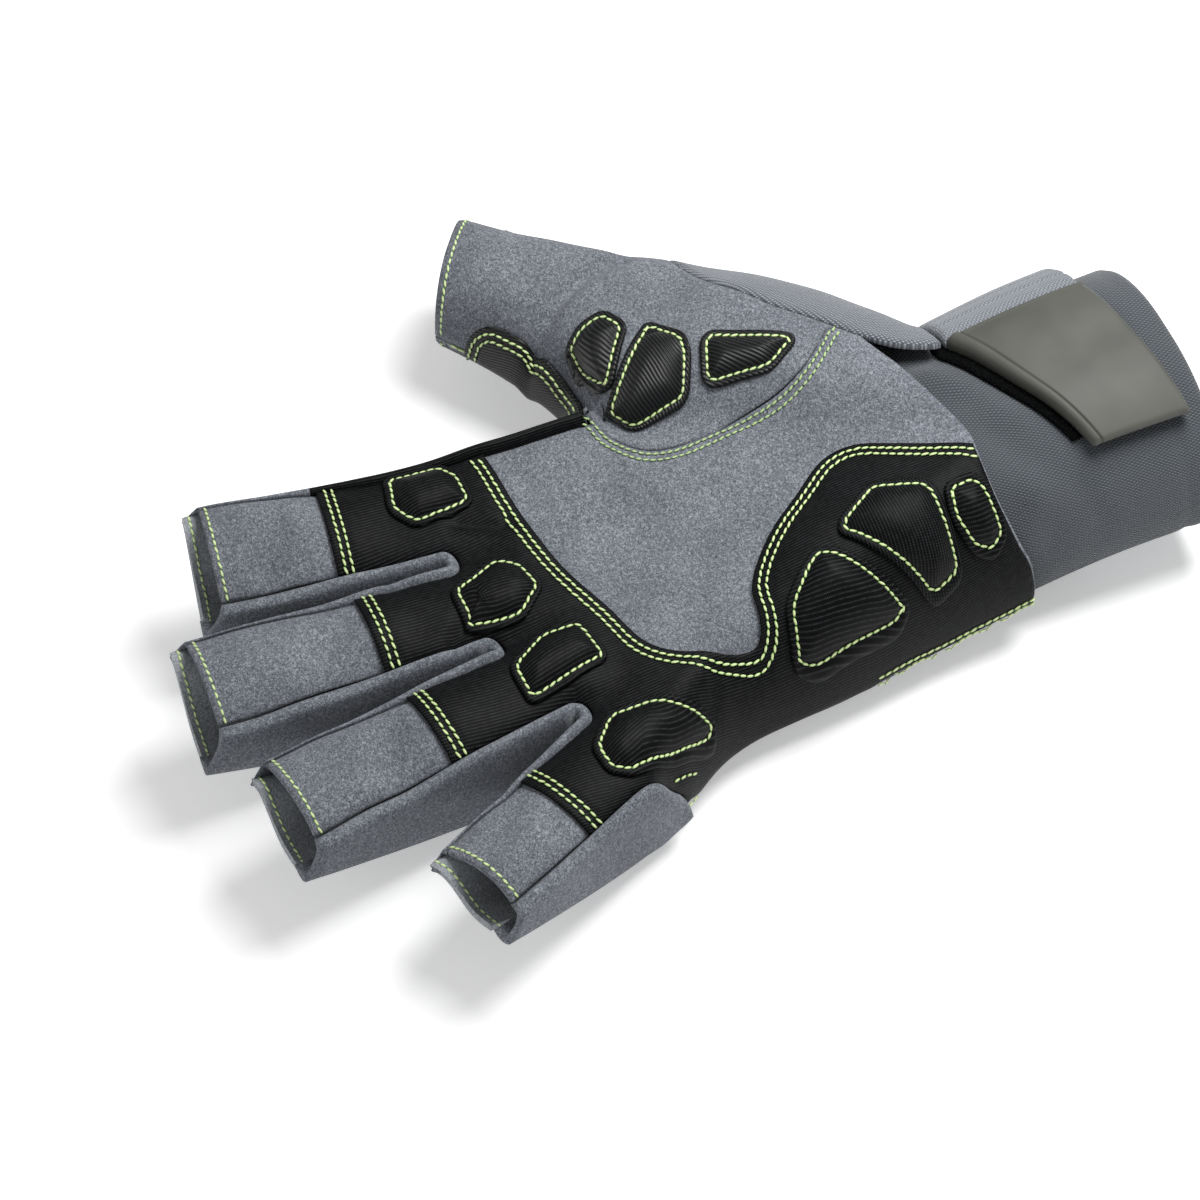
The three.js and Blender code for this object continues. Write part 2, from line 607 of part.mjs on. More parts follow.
// Side strip along a seam: a rolled channel from the front's edge to the back's edge
function strip(frontLine, backLine) {
  const wallIn = ROLL * 0.97 - SUEDE_WALL;
  const section = [
    [gap, 0, 0],
    [0.3 * ROLL, 0, ROLL_PUFF],
    [0.72 * ROLL, 0, -0.7],
    [0.94 * ROLL, 0.18, 0],
    [0.97 * ROLL, 0.5, 0],
    [0.94 * ROLL, 0.82, 0],
    [0.72 * ROLL, 1, 0.9],
    [gap, 1, 0.1],
    [gap, 1, 1.4],
    [wallIn, 0.76, 0],
    [wallIn, 0.5, 0],
    [wallIn, 0.24, 0],
    [gap, 0, -1.3],
  ];
  const count = frontLine.length;
  const positions = [];
  for (let k = 0; k < count; k += 1) {
    const a = frontLine[Math.max(k - 1, 0)];
    const b = frontLine[Math.min(k + 1, count - 1)];
    const length = Math.hypot(b.x - a.x, b.y - a.y);
    const out = { x: (b.y - a.y) / length, y: -(b.x - a.x) / length };
    const top = frontAt(frontLine[k].x, frontLine[k].y);
    const low = backAt(backLine[k].x, backLine[k].y);
    for (const [reach, drop, rise] of section) {
      const x = mix(frontLine[k].x, backLine[k].x, drop) + out.x * reach;
      const y = mix(frontLine[k].y, backLine[k].y, drop) + out.y * reach;
      positions.push(x, y, mix(top, low, drop) + rise);
    }
  }
  const size = section.length;
  const index = [];
  for (let k = 0; k < count - 1; k += 1) {
    for (let m = 0; m < size; m += 1) {
      const m2 = (m + 1) % size;
      const a = k * size + m;
      const b = k * size + m2;
      index.push(a, b, a + size, b, b + size, a + size);
    }
  }
  const outline = section.map(([reach, drop, rise]) => new THREE.Vector2(reach, -20 * drop + rise));
  const caps = THREE.ShapeUtils.triangulateShape(outline, []);
  const end = (count - 1) * size;
  const flip = THREE.ShapeUtils.isClockWise(outline);
  for (const [a, b, c] of caps) {
    if (flip) {
      index.push(a, b, c, end + a, end + c, end + b);
    } else {
      index.push(a, c, b, end + a, end + b, end + c);
    }
  }
  const geometry = new THREE.BufferGeometry();
  geometry.setAttribute('position', new THREE.Float32BufferAttribute(positions, 3));
  geometry.setIndex(index);
  return geometry;
}
const seamNames = ['fourchette_index_middle', 'fourchette_middle_ring', 'fourchette_ring_pinky'];
for (let i = 0; i < 3; i += 1) add(seamNames[i], strip(rootSeam(i, ROLL), rootSeam(i, ROLL, HEM_LIP)), SUEDE);
add('pinky_side_strip', strip(pinkySeam(ROLL), pinkySeam(ROLL, HEM_LIP)), SUEDE);
add('index_side_panel', strip(indexSeam(ROLL), indexSeam(ROLL, HEM_LIP)), BLACK, 0.6);

// Black patch: one layer over the finger fronts, the knuckle band, the outer side and the heel
const patchWindow = [...curve(PATCH_WINDOW, 44), { x: 60, y: -100 }];
let patch = toSolid(handWall(frontAt, 1, LAP_GAP, LAP_GAP + PATCH_WALL))
  .intersect(prism(handPlan(ROLL + 3 * gap, 0)))
  .intersect(prism(beside(divide, -1, 0, gap)))
  .intersect(prism(beside(wristLine, 0, 1, 0.6)))
  .subtract(prism(patchWindow));
fingerPlans.forEach((f, i) => {
  const beyond = [[TONGUES[i], 1], [1.3, 1], [1.3, -1], [TONGUES[i], -1]];
  patch = patch.subtract(prism(beyond.map(([share, side]) => fingerPoint(f, share, side, -2))));
});
add('palm_patch', toGeometry(patch), BLACK, 0.6);

const webPlan = [...curve(WEB_EDGE, 26), { x: 38.9, y: 30 }];
add('web_patch', cutSheet(thumbWall(frontAt, 1, 2 * LAP_GAP, 2 * LAP_GAP + PATCH_WALL),
  [webPlan, beside(divide, 1, 0, 3 * gap)]), BLACK, 0.6);

// Padded pieces: a flat border and a soft rise inside it, seated on the skin that carries them
function padGeometry(corners, lift) {
  const outline = [];
  corners.forEach(([x, y], k) => {
    const [bx, by] = corners[(k + corners.length - 1) % corners.length];
    const [ax, ay] = corners[(k + 1) % corners.length];
    const start = { x: mix(x, bx, PAD_CORNER), y: mix(y, by, PAD_CORNER) };
    const end = { x: mix(x, ax, PAD_CORNER), y: mix(y, ay, PAD_CORNER) };
    for (const t of [0, 1]) {
      outline.push({
        x: mix(mix(start.x, x, t), mix(x, end.x, t), t),
        y: mix(mix(start.y, y, t), mix(y, end.y, t), t),
      });
    }
  });
  const count = outline.length;
  const centre = { x: 0, y: 0 };
  for (const p of outline) {
    centre.x += p.x / count;
    centre.y += p.y / count;
  }
  const rings = [[0, -1.2], [0, PAD_EDGE], [PAD_BORDER, PAD_EDGE + 0.1], [PAD_BORDER + 1, PAD_EDGE + 0.75 * PAD_RISE]];
  const positions = [];
  for (const [inset, rise] of rings) {
    for (const p of outline) {
      const away = Math.hypot(p.x - centre.x, p.y - centre.y);
      const keep = (away - inset) / away;
      const x = mix(centre.x, p.x, keep);
      const y = mix(centre.y, p.y, keep);
      positions.push(...offFront(x, y, lift + rise).toArray());
    }
  }
  for (const p of outline) {
    const x = mix(centre.x, p.x, 0.45);
    const y = mix(centre.y, p.y, 0.45);
    positions.push(...offFront(x, y, lift + PAD_EDGE + PAD_RISE).toArray());
  }
  positions.push(...offFront(centre.x, centre.y, lift - 1.2).toArray());
  positions.push(...offFront(centre.x, centre.y, lift + PAD_EDGE + PAD_RISE).toArray());
  const index = [];
  for (let k = 0; k < count; k += 1) {
    const next = (k + 1) % count;
    for (let r = 0; r < rings.length; r += 1) {
      const a = r * count + k;
      const b = r * count + next;
      index.push(a, a + count, b, b, a + count, b + count);
    }
    index.push(5 * count, k, next);
    index.push(5 * count + 1, 4 * count + next, 4 * count + k);
  }
  const geometry = new THREE.BufferGeometry();
  geometry.setAttribute('position', new THREE.Float32BufferAttribute(positions, 3));
  geometry.setIndex(index);
  return geometry;
}
const overPatch = LAP_GAP + PATCH_WALL + LAP_GAP;
const underPads = {
  patch: toSolid(handWall(frontAt, 1, -7, overPatch)),
  thumb: toSolid(thumbWall(frontAt, 1, -7, LAP_GAP)),
};
for (const pad of PADS) {
  const raw = toSolid(padGeometry(pad.corners, pad.on === 'patch' ? overPatch : LAP_GAP));
  add(pad.name, toGeometry(raw.subtract(underPads[pad.on])), BLACK, 0.6);
}

// Rings round the wrist: a share of the hand's own section, drawn in by an inset
const wristAt = (x) => {
  const t = clamp((x + 33) / 61, 0, 1);
  return WRIST_Y + mix(-6.5, 7.8, t);
};
function wristRing(y, turn, inset) {
  const row = rowAt(HAND, 'y', y);
  const half = (row.inner - row.outer) / 2;
  const middle = (row.inner + row.outer) / 2;
  const x = middle + half * Math.cos(turn);
  const z = Math.sin(turn) >= 0 ? handFront(x, y) : handBack(x, y);
  const high = Math.sin(turn) >= 0 ? handFront(middle, y) - row.side : row.side - handBack(middle, y);
  return {
    x: middle + (x - middle) * (half - inset) / half,
    z: row.side + (z - row.side) * (high - inset) / high,
  };
}
const bandPoint = (y, turn, inset) => {
  const p = wristRing(y, turn, inset);
  return new THREE.Vector3(p.x, y, p.z);
};

// Closed band: two faces over a grid of turns and stations, joined round its rims
function band(turns, stations, place, closed) {
  const positions = [];
  for (const layer of [0, 1]) {
    for (let j = 0; j <= stations; j += 1) {
      for (let i = 0; i < turns + (closed ? 0 : 1); i += 1) {
        const p = place(i / turns, j / stations, layer);
        positions.push(p.x, p.y, p.z);
      }
    }
  }
  const columns = turns + (closed ? 0 : 1);
  const id = (k, i, j) => (k * (stations + 1) + j) * columns + (closed ? i % turns : i);
  const index = [];
  const quad = (a, b, c, d) => index.push(a, c, b, a, d, c);
  for (let i = 0; i < turns; i += 1) {
    for (let j = 0; j < stations; j += 1) {
      quad(id(1, i, j), id(1, i + 1, j), id(1, i + 1, j + 1), id(1, i, j + 1));
      quad(id(0, i, j), id(0, i, j + 1), id(0, i + 1, j + 1), id(0, i + 1, j));
    }
    quad(id(0, i, 0), id(0, i + 1, 0), id(1, i + 1, 0), id(1, i, 0));
    quad(id(1, i, stations), id(1, i + 1, stations), id(0, i + 1, stations), id(0, i, stations));
  }
  if (!closed) {
    for (let j = 0; j < stations; j += 1) {
      quad(id(0, 0, j + 1), id(0, 0, j), id(1, 0, j), id(1, 0, j + 1));
      quad(id(1, turns, j + 1), id(1, turns, j), id(0, turns, j), id(0, turns, j + 1));
    }
  }
  const geometry = new THREE.BufferGeometry();
  geometry.setAttribute('position', new THREE.Float32BufferAttribute(positions, 3));
  geometry.setIndex(index);
  return geometry;
}

// Cuff: a sleeve that starts under the palm's wrist edge
const CUFF_TURNS = 30;
const CUFF_ROWS = 4;
add('cuff', band(CUFF_TURNS, CUFF_ROWS, (u, v, layer) => {
  const turn = -u * 2 * Math.PI;
  const side = wristRing(WRIST_Y, turn, 0).x;
  const y = mix(wristAt(side) + CUFF_LAP, CUFF_END_Y, v);
  return bandPoint(y, turn, CUFF_INSET + (1 - layer) * CUFF_WALL);
}, true), KNIT);

// Strap round the thumb side of the wrist, its rubber tab over the palm side, hooks below both
const turnAt = (x) => {
  const row = rowAt(HAND, 'y', STRAP_EDGE_Y);
  return Math.acos(clamp((x - (row.inner + row.outer) / 2) / ((row.inner - row.outer) / 2), -1, 1));
};
function strapBand(fromTurn, toTurn, turns, lowInset, highInset, ahead, wide) {
  return band(turns, 3, (u, v, layer) => {
    const turn = mix(fromTurn, toTurn, u);
    const x = wristRing(STRAP_EDGE_Y, turn, 0).x;
    const spread = 0.6 * TAB_SLANT * Math.max(0, TAB_START_X - x);
    const y = strapStart(x) + ahead - (wide - spread) * v;
    return bandPoint(y, turn, layer === 1 ? highInset : lowInset);
  }, false);
}
const strapLow = CUFF_INSET - LAP_GAP - HOOK_WALL - LAP_GAP;
const tabTurn = turnAt(TAB_START_X);
const tabEnd = turnAt(TAB_END_X);
add('wrist_strap', strapBand(tabTurn - 0.01, -2.35, 20, strapLow, strapLow - STRAP_WALL, 0, STRAP_WIDE), KNIT);
add('pull_tab', strapBand(tabEnd, tabTurn + 0.01, 12, strapLow, strapLow - TAB_WALL, 0, STRAP_WIDE), RUBBER, 0.5);
add('hook_band', strapBand(tabEnd - 0.08, 0.35, 12, CUFF_INSET - LAP_GAP, CUFF_INSET - LAP_GAP - HOOK_WALL, 2, STRAP_WIDE - 1), BLACK);

// The origin lies under the middle of the whole glove, on the surface that it rests on
const group = new THREE.Group();
group.name = 'sailing_glove';
for (const node of nodes) group.add(node);
const bounds = new THREE.Box3().setFromObject(group);
const middle = bounds.getCenter(new THREE.Vector3());
for (const node of nodes) node.geometry.translate(-middle.x, -middle.y, -bounds.min.z);

export default group;
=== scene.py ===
# %% [markdown]
# # A short-finger sailing glove
# The glove lies palm up and filled, as if worn. It is sewn from a suede palm, a suede thumb, knit on the
# back and wrist, black ribbed reinforcement and small padded pieces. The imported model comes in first:
# it fixes every size and place, and each cloth piece made here takes the place of one plain solid.

import math

import bmesh
import bpy
import numpy as np
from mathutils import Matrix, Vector
from mathutils.geometry import delaunay_2d_cdt
from mathutils.kdtree import KDTree


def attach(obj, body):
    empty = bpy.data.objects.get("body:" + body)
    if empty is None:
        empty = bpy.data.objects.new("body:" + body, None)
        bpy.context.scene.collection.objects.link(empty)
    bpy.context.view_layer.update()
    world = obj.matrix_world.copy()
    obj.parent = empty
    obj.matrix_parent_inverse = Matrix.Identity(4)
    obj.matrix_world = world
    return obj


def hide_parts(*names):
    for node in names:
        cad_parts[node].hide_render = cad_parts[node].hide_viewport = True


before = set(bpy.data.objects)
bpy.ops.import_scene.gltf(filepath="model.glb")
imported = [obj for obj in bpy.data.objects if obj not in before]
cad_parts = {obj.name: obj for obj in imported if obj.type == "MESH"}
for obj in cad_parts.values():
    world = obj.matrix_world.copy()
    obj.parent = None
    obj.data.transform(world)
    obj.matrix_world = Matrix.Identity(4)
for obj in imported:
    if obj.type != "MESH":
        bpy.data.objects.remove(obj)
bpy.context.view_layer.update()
print("packed nodes:", len(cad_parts))

# %% [markdown]
# ## Sizes
# All lengths are millimetres in the glove's own layout: X to the thumb, Y to the fingertips, Z up out of
# the palm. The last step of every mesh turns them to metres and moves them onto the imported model, whose
# origin lies under the middle of the whole glove.

# %% Sizes of cloth and layout
MM = 0.001
SHIFT = (-16.2204, 19.75, 0.0)
SUEDE_WALL, KNIT_WALL, PATCH_WALL = 1.2, 1.6, 0.8
PAD_EDGE, PAD_RISE, PAD_BORDER = 0.8, 2.0, 1.35
SEAM_GAP, LAP_GAP = 0.3, 0.3
ROLL, HEM_LIP = 3.2, 4.5
CUFF_INSET, CUFF_WALL, STRAP_WALL, TAB_WALL, HOOK_WALL = 2.4, 2.2, 2.4, 2.6, 1.0
WRIST_Y, CUFF_END_Y, CUFF_LAP = -74.0, -122.0, 7.0
WEB_X, WEB_Y = 38.5, -11.0
ROOTS = [(40.0, 31.0), (14.5, 26.5), (-7.0, 25.5), (-26.5, 15.5), (-46.0, 4.0)]
FINGERS = [
    dict(name="index", splay=6.5, length=39.0, half=11.8, front=(27.0, 30.5), back=(1.0, 16.0), roll=2.6,
         tongue=0.415),
    dict(name="middle", splay=0.0, length=52.0, half=11.7, front=(27.0, 31.0), back=(1.0, 14.0), roll=0.8,
         tongue=0.37),
    dict(name="ring", splay=-10.0, length=51.0, half=11.3, front=(27.0, 30.0), back=(1.0, 15.0), roll=0.3,
         tongue=0.43),
    dict(name="pinky", splay=-26.0, length=38.0, half=10.5, front=(26.0, 28.5), back=(2.0, 15.5), roll=0.0,
         tongue=0.48),
]
FRONT_CROWN, BACK_CROWN = 4.2, 3.0
TIP_CROWN, FAR_WALL = 3.2, 3.4
FAR_LIP = 0.75
HAND = {
    "y": [-125, -100, -80, -62, -40, -15, 2, 10, 40, 90],
    "outer": [-27, -26.5, -26.5, -27.5, -30.5, -33.5, -43, -51, -65, -66],
    "inner": [38, 37, 35, 33, 33, 37, 40, 42, 52, 56],
    "side": [18, 16, 12, 8.5, 7, 7, 7, 8, 13, 13],
    "front": [43, 42, 39, 35, 31, 28, 27, 27, 27, 27],
    "back": [3, 3, 2, 0, 0, 0, 0, 0, 0, 0],
    "round": [30, 28, 23, 18, 14, 12, 11, 10, 10, 10],
}
SWELLS = [  # centre, half sizes, turn in degrees, height
    dict(x=-14, y=-46, long=24, wide=15, turn=10, height=3.5),
    dict(x=4, y=-16, long=16, wide=20, turn=0, height=-1.5),
]
THUMB_ROOT, THUMB_TURN, THUMB_OPENING, THUMB_SLANT = (51.4, -33.1), 43.0, 46.5, 0.12
THUMB = {
    "along": [-56, -35, -15, 0, 6, 14, 30, 50],
    "near": [-16, -19, -24, -28, -22.5, -15.8, -11.2, -8.9],
    "far": [20, 23, 25, 24.5, 23, 21, 18.4, 16],
    "side": [12, 11, 10, 10, 11, 12, 15, 18],
    "rise": [27, 28.5, 28.5, 25.5, 24, 22, 17.5, 14],
    "drop": [9, 11, 10, 9.5, 9.5, 9, 8, 7],
}
STRAP_EDGE_Y, TAB_SLANT, STRAP_WIDE, TAB_START_X, TAB_END_X = -81.0, 0.47, 30.0, 19.5, -14.0

# %% [markdown]
# ## The hand's two skins
# A glove follows the hand inside it, so all panels share two smooth skins: the front of the hand with the
# palm up, and the back. Each skin is a height over the plan. Swellings and finger crowns are added in
# formulas, so a panel, its patch and its stitches stay on one another without any fitting.


# %% Helpers for blending heights
def mix(a, b, t):
    return a + (b - a) * t


def smooth(a, b, v):
    t = np.clip((v - a) / (b - a), 0, 1)
    return t * t * (3 - 2 * t)


def blend_max(a, b, k):
    h = np.maximum(k - np.abs(a - b), 0) / k
    return np.maximum(a, b) + h * h * k * 0.25


def blend_min(a, b, k):
    return -blend_max(-a, -b, k)


def row_at(table, key, value):
    """Every column of a table at a value of its key column, with soft steps between the rows."""
    keys = np.array(table[key], float)
    v = np.clip(value, keys[0], keys[-1])
    i = np.clip(np.searchsorted(keys, v, side="left") - 1, 0, len(keys) - 2)
    before, after = np.maximum(i - 1, 0), np.minimum(i + 2, len(keys) - 1)
    step = keys[i + 1] - keys[i]
    t = (v - keys[i]) / step
    row = {}
    for name, column in table.items():
        c = np.array(column, float)
        slope_a = (c[i + 1] - c[before]) / (keys[i + 1] - keys[before]) * step
        slope_b = (c[after] - c[i]) / (keys[after] - keys[i]) * step
        row[name] = ((2 * t**3 - 3 * t**2 + 1) * c[i] + (t**3 - 2 * t**2 + t) * slope_a
                     + (3 * t**2 - 2 * t**3) * c[i + 1] + (t**3 - t**2) * slope_b)
    return row


# %% Fingers in plan and their front and back heights
for i, finger in enumerate(FINGERS):
    turn = math.radians(finger["splay"])
    finger["d"] = (math.sin(turn), math.cos(turn))
    finger["n"] = (finger["d"][1], -finger["d"][0])
    far_root, near_root = ROOTS[i], ROOTS[i + 1]
    finger["half0"] = ((far_root[0] - near_root[0]) * finger["n"][0] + (far_root[1] - near_root[1])
                       * finger["n"][1]) / 2
    finger["x"] = (far_root[0] + near_root[0]) / 2
    finger["y"] = (far_root[1] + near_root[1]) / 2


def finger_place(f, x, y):
    """Share of the finger's length and share of its half width, to the thumb side."""
    s = ((x - f["x"]) * f["d"][0] + (y - f["y"]) * f["d"][1]) / f["length"]
    t = (x - f["x"]) * f["n"][0] + (y - f["y"]) * f["n"][1]
    return s, t / mix(f["half0"], f["half"], np.clip(s, -0.6, 1.1))


def finger_point(f, s, side, inset=0.0):
    reach = side * (mix(f["half0"], f["half"], s) - inset)
    along = s * f["length"]
    return (f["x"] + f["d"][0] * along + f["n"][0] * reach, f["y"] + f["d"][1] * along + f["n"][1] * reach)


def finger_front(f, x, y):
    s, q = finger_place(f, x, y)
    crown = FRONT_CROWN * np.minimum(np.abs(q), 3) ** 2.2
    near = TIP_CROWN * smooth(0, 1, s) * np.clip(-q, 0, 3) ** 2.2
    return mix(f["front"][0], f["front"][1],
               smooth(-0.3, 1.2, s)) + f["roll"] * q * smooth(-0.2, 1, s) - crown - near


def finger_back(f, x, y):
    s, q = finger_place(f, x, y)
    crown = BACK_CROWN * np.minimum(np.abs(q), 3) ** 2.2
    z = mix(f["back"][0], f["back"][1],
            np.clip(s, 0, 1.3) ** 1.3) + f["roll"] * q * smooth(-0.2, 1, s) + crown
    closing = smooth(0.15, 0.95, s) * smooth(-0.15, 1, q)
    return mix(z, np.maximum(z, finger_front(f, x, y) - FAR_WALL), closing)


# %% Hand and thumb skins
def root_line(x):
    t = np.clip((x - ROOTS[4][0]) / (ROOTS[0][0] - ROOTS[4][0]), -0.2, 1.2)
    return mix(ROOTS[4][1], ROOTS[0][1], t) + 6.5 * np.sin(np.pi * np.clip(t, 0, 1))


def round_off(distance, radius):
    t = 1 - np.clip(distance / radius, 0, 1)
    return np.sqrt(np.maximum(0, 1 - t * t))


def side_falls(row, x, y):
    outer = mix(round_off(x - row["outer"], row["round"]), 1, smooth(-2, 6, y - root_line(x)))
    inner = mix(round_off(row["inner"] - x, row["round"]), 1, smooth(WEB_Y - 12, WEB_Y - 1, y))
    return outer * inner


def hand_front(x, y):
    row = row_at(HAND, "y", y)
    z = row["front"]
    for swell in SWELLS:
        turn = math.radians(swell["turn"])
        u = ((x - swell["x"]) * math.cos(turn) + (y - swell["y"]) * math.sin(turn)) / swell["wide"]
        v = (-(x - swell["x"]) * math.sin(turn) + (y - swell["y"]) * math.cos(turn)) / swell["long"]
        z = z + swell["height"] * np.exp(-(u * u + v * v))
    fingers = finger_front(FINGERS[0], x, y)
    for f in FINGERS[1:]:
        fingers = blend_max(fingers, finger_front(f, x, y), 2.5)
    z = mix(z, fingers, smooth(-20, 3, y - root_line(x)))
    return row["side"] + SEAM_GAP / 2 + (z - row["side"]) * side_falls(row, x, y)


def hand_back(x, y):
    row = row_at(HAND, "y", y)
    fingers = finger_back(FINGERS[0], x, y)
    for f in FINGERS[1:]:
        fingers = blend_min(fingers, finger_back(f, x, y), 2.5)
    z = mix(row["back"], fingers, smooth(-14, 6, y - root_line(x)))
    return row["side"] - SEAM_GAP / 2 + (z - row["side"]) * side_falls(row, x, y)


THUMB_LINE = (math.sin(math.radians(THUMB_TURN)), math.cos(math.radians(THUMB_TURN)))
THUMB_ACROSS = (THUMB_LINE[1], -THUMB_LINE[0])


def thumb_place(x, y):
    dx, dy = x - THUMB_ROOT[0], y - THUMB_ROOT[1]
    return dx * THUMB_LINE[0] + dy * THUMB_LINE[1], dx * THUMB_ACROSS[0] + dy * THUMB_ACROSS[1]


def thumb_point(along, across):
    return (THUMB_ROOT[0] + THUMB_LINE[0] * along + THUMB_ACROSS[0] * across,
            THUMB_ROOT[1] + THUMB_LINE[1] * along + THUMB_ACROSS[1] * across)


def thumb_skin(x, y, sign):
    along, across = thumb_place(x, y)
    row = row_at(THUMB, "along", along)
    q = np.abs((across - (row["near"] + row["far"]) / 2) / ((row["far"] - row["near"]) / 2))
    bulge = np.where(q < 1, np.sqrt(np.maximum(0, 1 - q**2.5)), -6 * (q - 1))
    return row["side"] + sign * (SEAM_GAP / 2 + (row["rise"] if sign > 0 else row["drop"]) * bulge)


def web_fall(x, y):
    fall = 6 * np.maximum(0, x - WEB_X - 1.5 - 0.16 * np.maximum(0, y - WEB_Y))
    return np.where(y > WEB_Y - 4, fall, 0)


# %% [markdown]
# ## Folds
# Cloth over a bent thumb and over half-bent fingers gathers in a few soft dents. Each is a groove along a
# short line that fades at both ends. They belong to the front skin, so the layers above sink with it.

# %% Table of folds and the two finished skins
FOLDS = [  # points of the groove, its half width and its depth
    dict(line=[(70, -33), (66.2, -22), (62.3, -14.2), (58.4, -9.5)], wide=2.2, deep=3.2),
    dict(line=[(60, -36), (53.5, -38)], wide=3.5, deep=1.1),
    dict(line=[(35.5, 53.5), (31, 55), (26.5, 58.5)], wide=3.0, deep=1.7),
    dict(line=[(6.5, 50), (3, 55)], wide=3.2, deep=1.8),
    dict(line=[(-18.5, 48.5), (-24.5, 52.5)], wide=2.8, deep=1.8),
    dict(line=[(-39.5, 33), (-46.5, 38.5)], wide=3.0, deep=1.9),
    dict(line=[(22, 21), (18, 13)], wide=1.8, deep=0.9),
    dict(line=[(2, 24), (-3, 31)], wide=1.8, deep=0.8),
    dict(line=[(-23, 14), (-29, 19)], wide=1.6, deep=0.8),
    dict(line=[(-38, -4), (-28, -12), (-24, -22)], wide=2.2, deep=1.1),
    dict(line=[(-31, -14), (-27.5, -22)], wide=1.8, deep=0.8),
    dict(line=[(10, -10), (-2, -18)], wide=7.0, deep=0.8),
    dict(line=[(14, 33), (12.5, 38)], wide=1.5, deep=0.6),
]


def distance_to(line, x, y, closed=False):
    """Least distance in plan from each point to a line of points."""
    points = np.array(line, float)
    if closed:
        points = np.vstack([points, points[:1]])
    best = np.full(np.shape(x), 1e9)
    for (ax, ay), (bx, by) in zip(points[:-1], points[1:]):
        dx, dy = bx - ax, by - ay
        t = np.clip(((x - ax) * dx + (y - ay) * dy) / max(dx * dx + dy * dy, 1e-12), 0, 1)
        best = np.minimum(best, np.hypot(x - ax - t * dx, y - ay - t * dy))
    return best


def folds(x, y):
    z = 0.0
    for fold in FOLDS:
        z = z - fold["deep"] * np.exp(-((distance_to(fold["line"], x, y) / fold["wide"]) ** 2))
    return z


chance = np.random.default_rng(4)
WAVES = [dict(turn=chance.uniform(0, np.pi), long=chance.uniform(7, 26),
              phase=chance.uniform(0, 6.3)) for _ in range(22)]


def unevenness(x, y):
    """Cloth is never quite smooth: many weak waves in all directions, in mm."""
    z = 0.0
    for wave in WAVES:
        along = x * math.cos(wave["turn"]) + y * math.sin(wave["turn"])
        z = z + wave["long"] * 0.0034 * np.sin(2 * np.pi * along / wave["long"] + wave["phase"])
    return z


def front_at(x, y):
    x, y = np.asarray(x, float), np.asarray(y, float)
    return blend_max(hand_front(x, y) - web_fall(x, y), thumb_skin(x, y, 1),
                     6) + folds(x, y) + unevenness(x, y)


def back_at(x, y):
    x, y = np.asarray(x, float), np.asarray(y, float)
    return np.maximum(0, blend_min(hand_back(x, y) + web_fall(x, y), thumb_skin(x, y, -1), 5))


print("palm height at the middle: %.1f mm" % front_at(0, -20))

# %% [markdown]
# ## Seam lines
# A pattern cutter draws the seams first. These lines in plan are shared by the two pieces that meet at
# each one, with a hair's gap between them, and the stitches follow the same lines later.


# %% Soft curves through few points
def part_way(t, start, end, a, b):
    """From a to b, as far as t is on its way from start to end."""
    return ((end - t) * a + (t - start) * b) / (end - start)


def curve(points, steps, closed=False):
    """Even points of a soft curve through the given ones."""
    p = [np.array(q, float) for q in points]
    n = len(p)
    fine = []
    for k in range(n if closed else n - 1):
        a, b = p[k], p[(k + 1) % n]
        before = p[(k - 1) % n] if closed or k > 0 else 2 * a - b
        after = p[(k + 2) % n] if closed or k < n - 2 else 2 * b - a
        knots = [0.0]
        for u, v in ((before, a), (a, b), (b, after)):
            knots.append(knots[-1] + max(np.linalg.norm(v - u), 1e-6) ** 0.5)
        for t in np.linspace(knots[1], knots[2], 24, endpoint=False):
            q = [before, a, b, after]
            q = [part_way(t, knots[m], knots[m + 1], q[m], q[m + 1]) for m in range(3)]
            q = [part_way(t, knots[m], knots[m + 2], q[m], q[m + 1]) for m in range(2)]
            fine.append(part_way(t, knots[1], knots[2], q[0], q[1]))
    fine.append(p[0] if closed else p[-1])
    return spread(fine, steps)


def spread(points, steps):
    """The same line in even steps."""
    p = np.array(points, float)
    lengths = np.concatenate([[0], np.cumsum(np.linalg.norm(np.diff(p, axis=0), axis=1))])
    at = np.linspace(0, lengths[-1], steps + 1)
    return np.stack([np.interp(at, lengths, p[:, k]) for k in range(p.shape[1])], 1)


def between(points, steps):
    """The same number of steps for every span of the drawn line, so two lines keep their pairs."""
    p = np.array(points, dtype=float)
    t = np.linspace(0, len(p) - 1, steps + 1)
    return np.stack([np.interp(t, np.arange(len(p)), p[:, k]) for k in range(p.shape[1])], 1)


def resample(points, pitch):
    p = np.array(points, float)
    total = np.linalg.norm(np.diff(p, axis=0), axis=1).sum()
    return spread(p, max(1, int(round(total / pitch))))


# %% The glove's seam lines
THUMB_SEAM = [(31.2, -61.2), (28.4, -57.5), (24.8, -52.8), (22.8, -47.0), (22.8, -35.0), (22.8, -25.0),
              (25.0, -19.0),
              (30.0, -15.2), (WEB_X, WEB_Y)]
WRIST_SEAM = [(-60.0, WRIST_Y - 8.5), (-26.2, WRIST_Y - 6.5), (-22.5, WRIST_Y - 3.8), (-16.5, WRIST_Y - 1.6),
              (-8.4, WRIST_Y - 1.2), (-2.0, WRIST_Y - 1.6), (7.3, WRIST_Y + 0.9), (19.5, WRIST_Y + 5.2),
              (27.0, WRIST_Y + 8.2), (40.0, WRIST_Y + 12.0)]
SUEDE_EDGE = [(20.0, -71.0), (31.0, -62.2), (36.2, -58.0), (43.0, -52.3), (51.5, -46.2), (62.0, -43.0),
              (140.0, -40.0)]
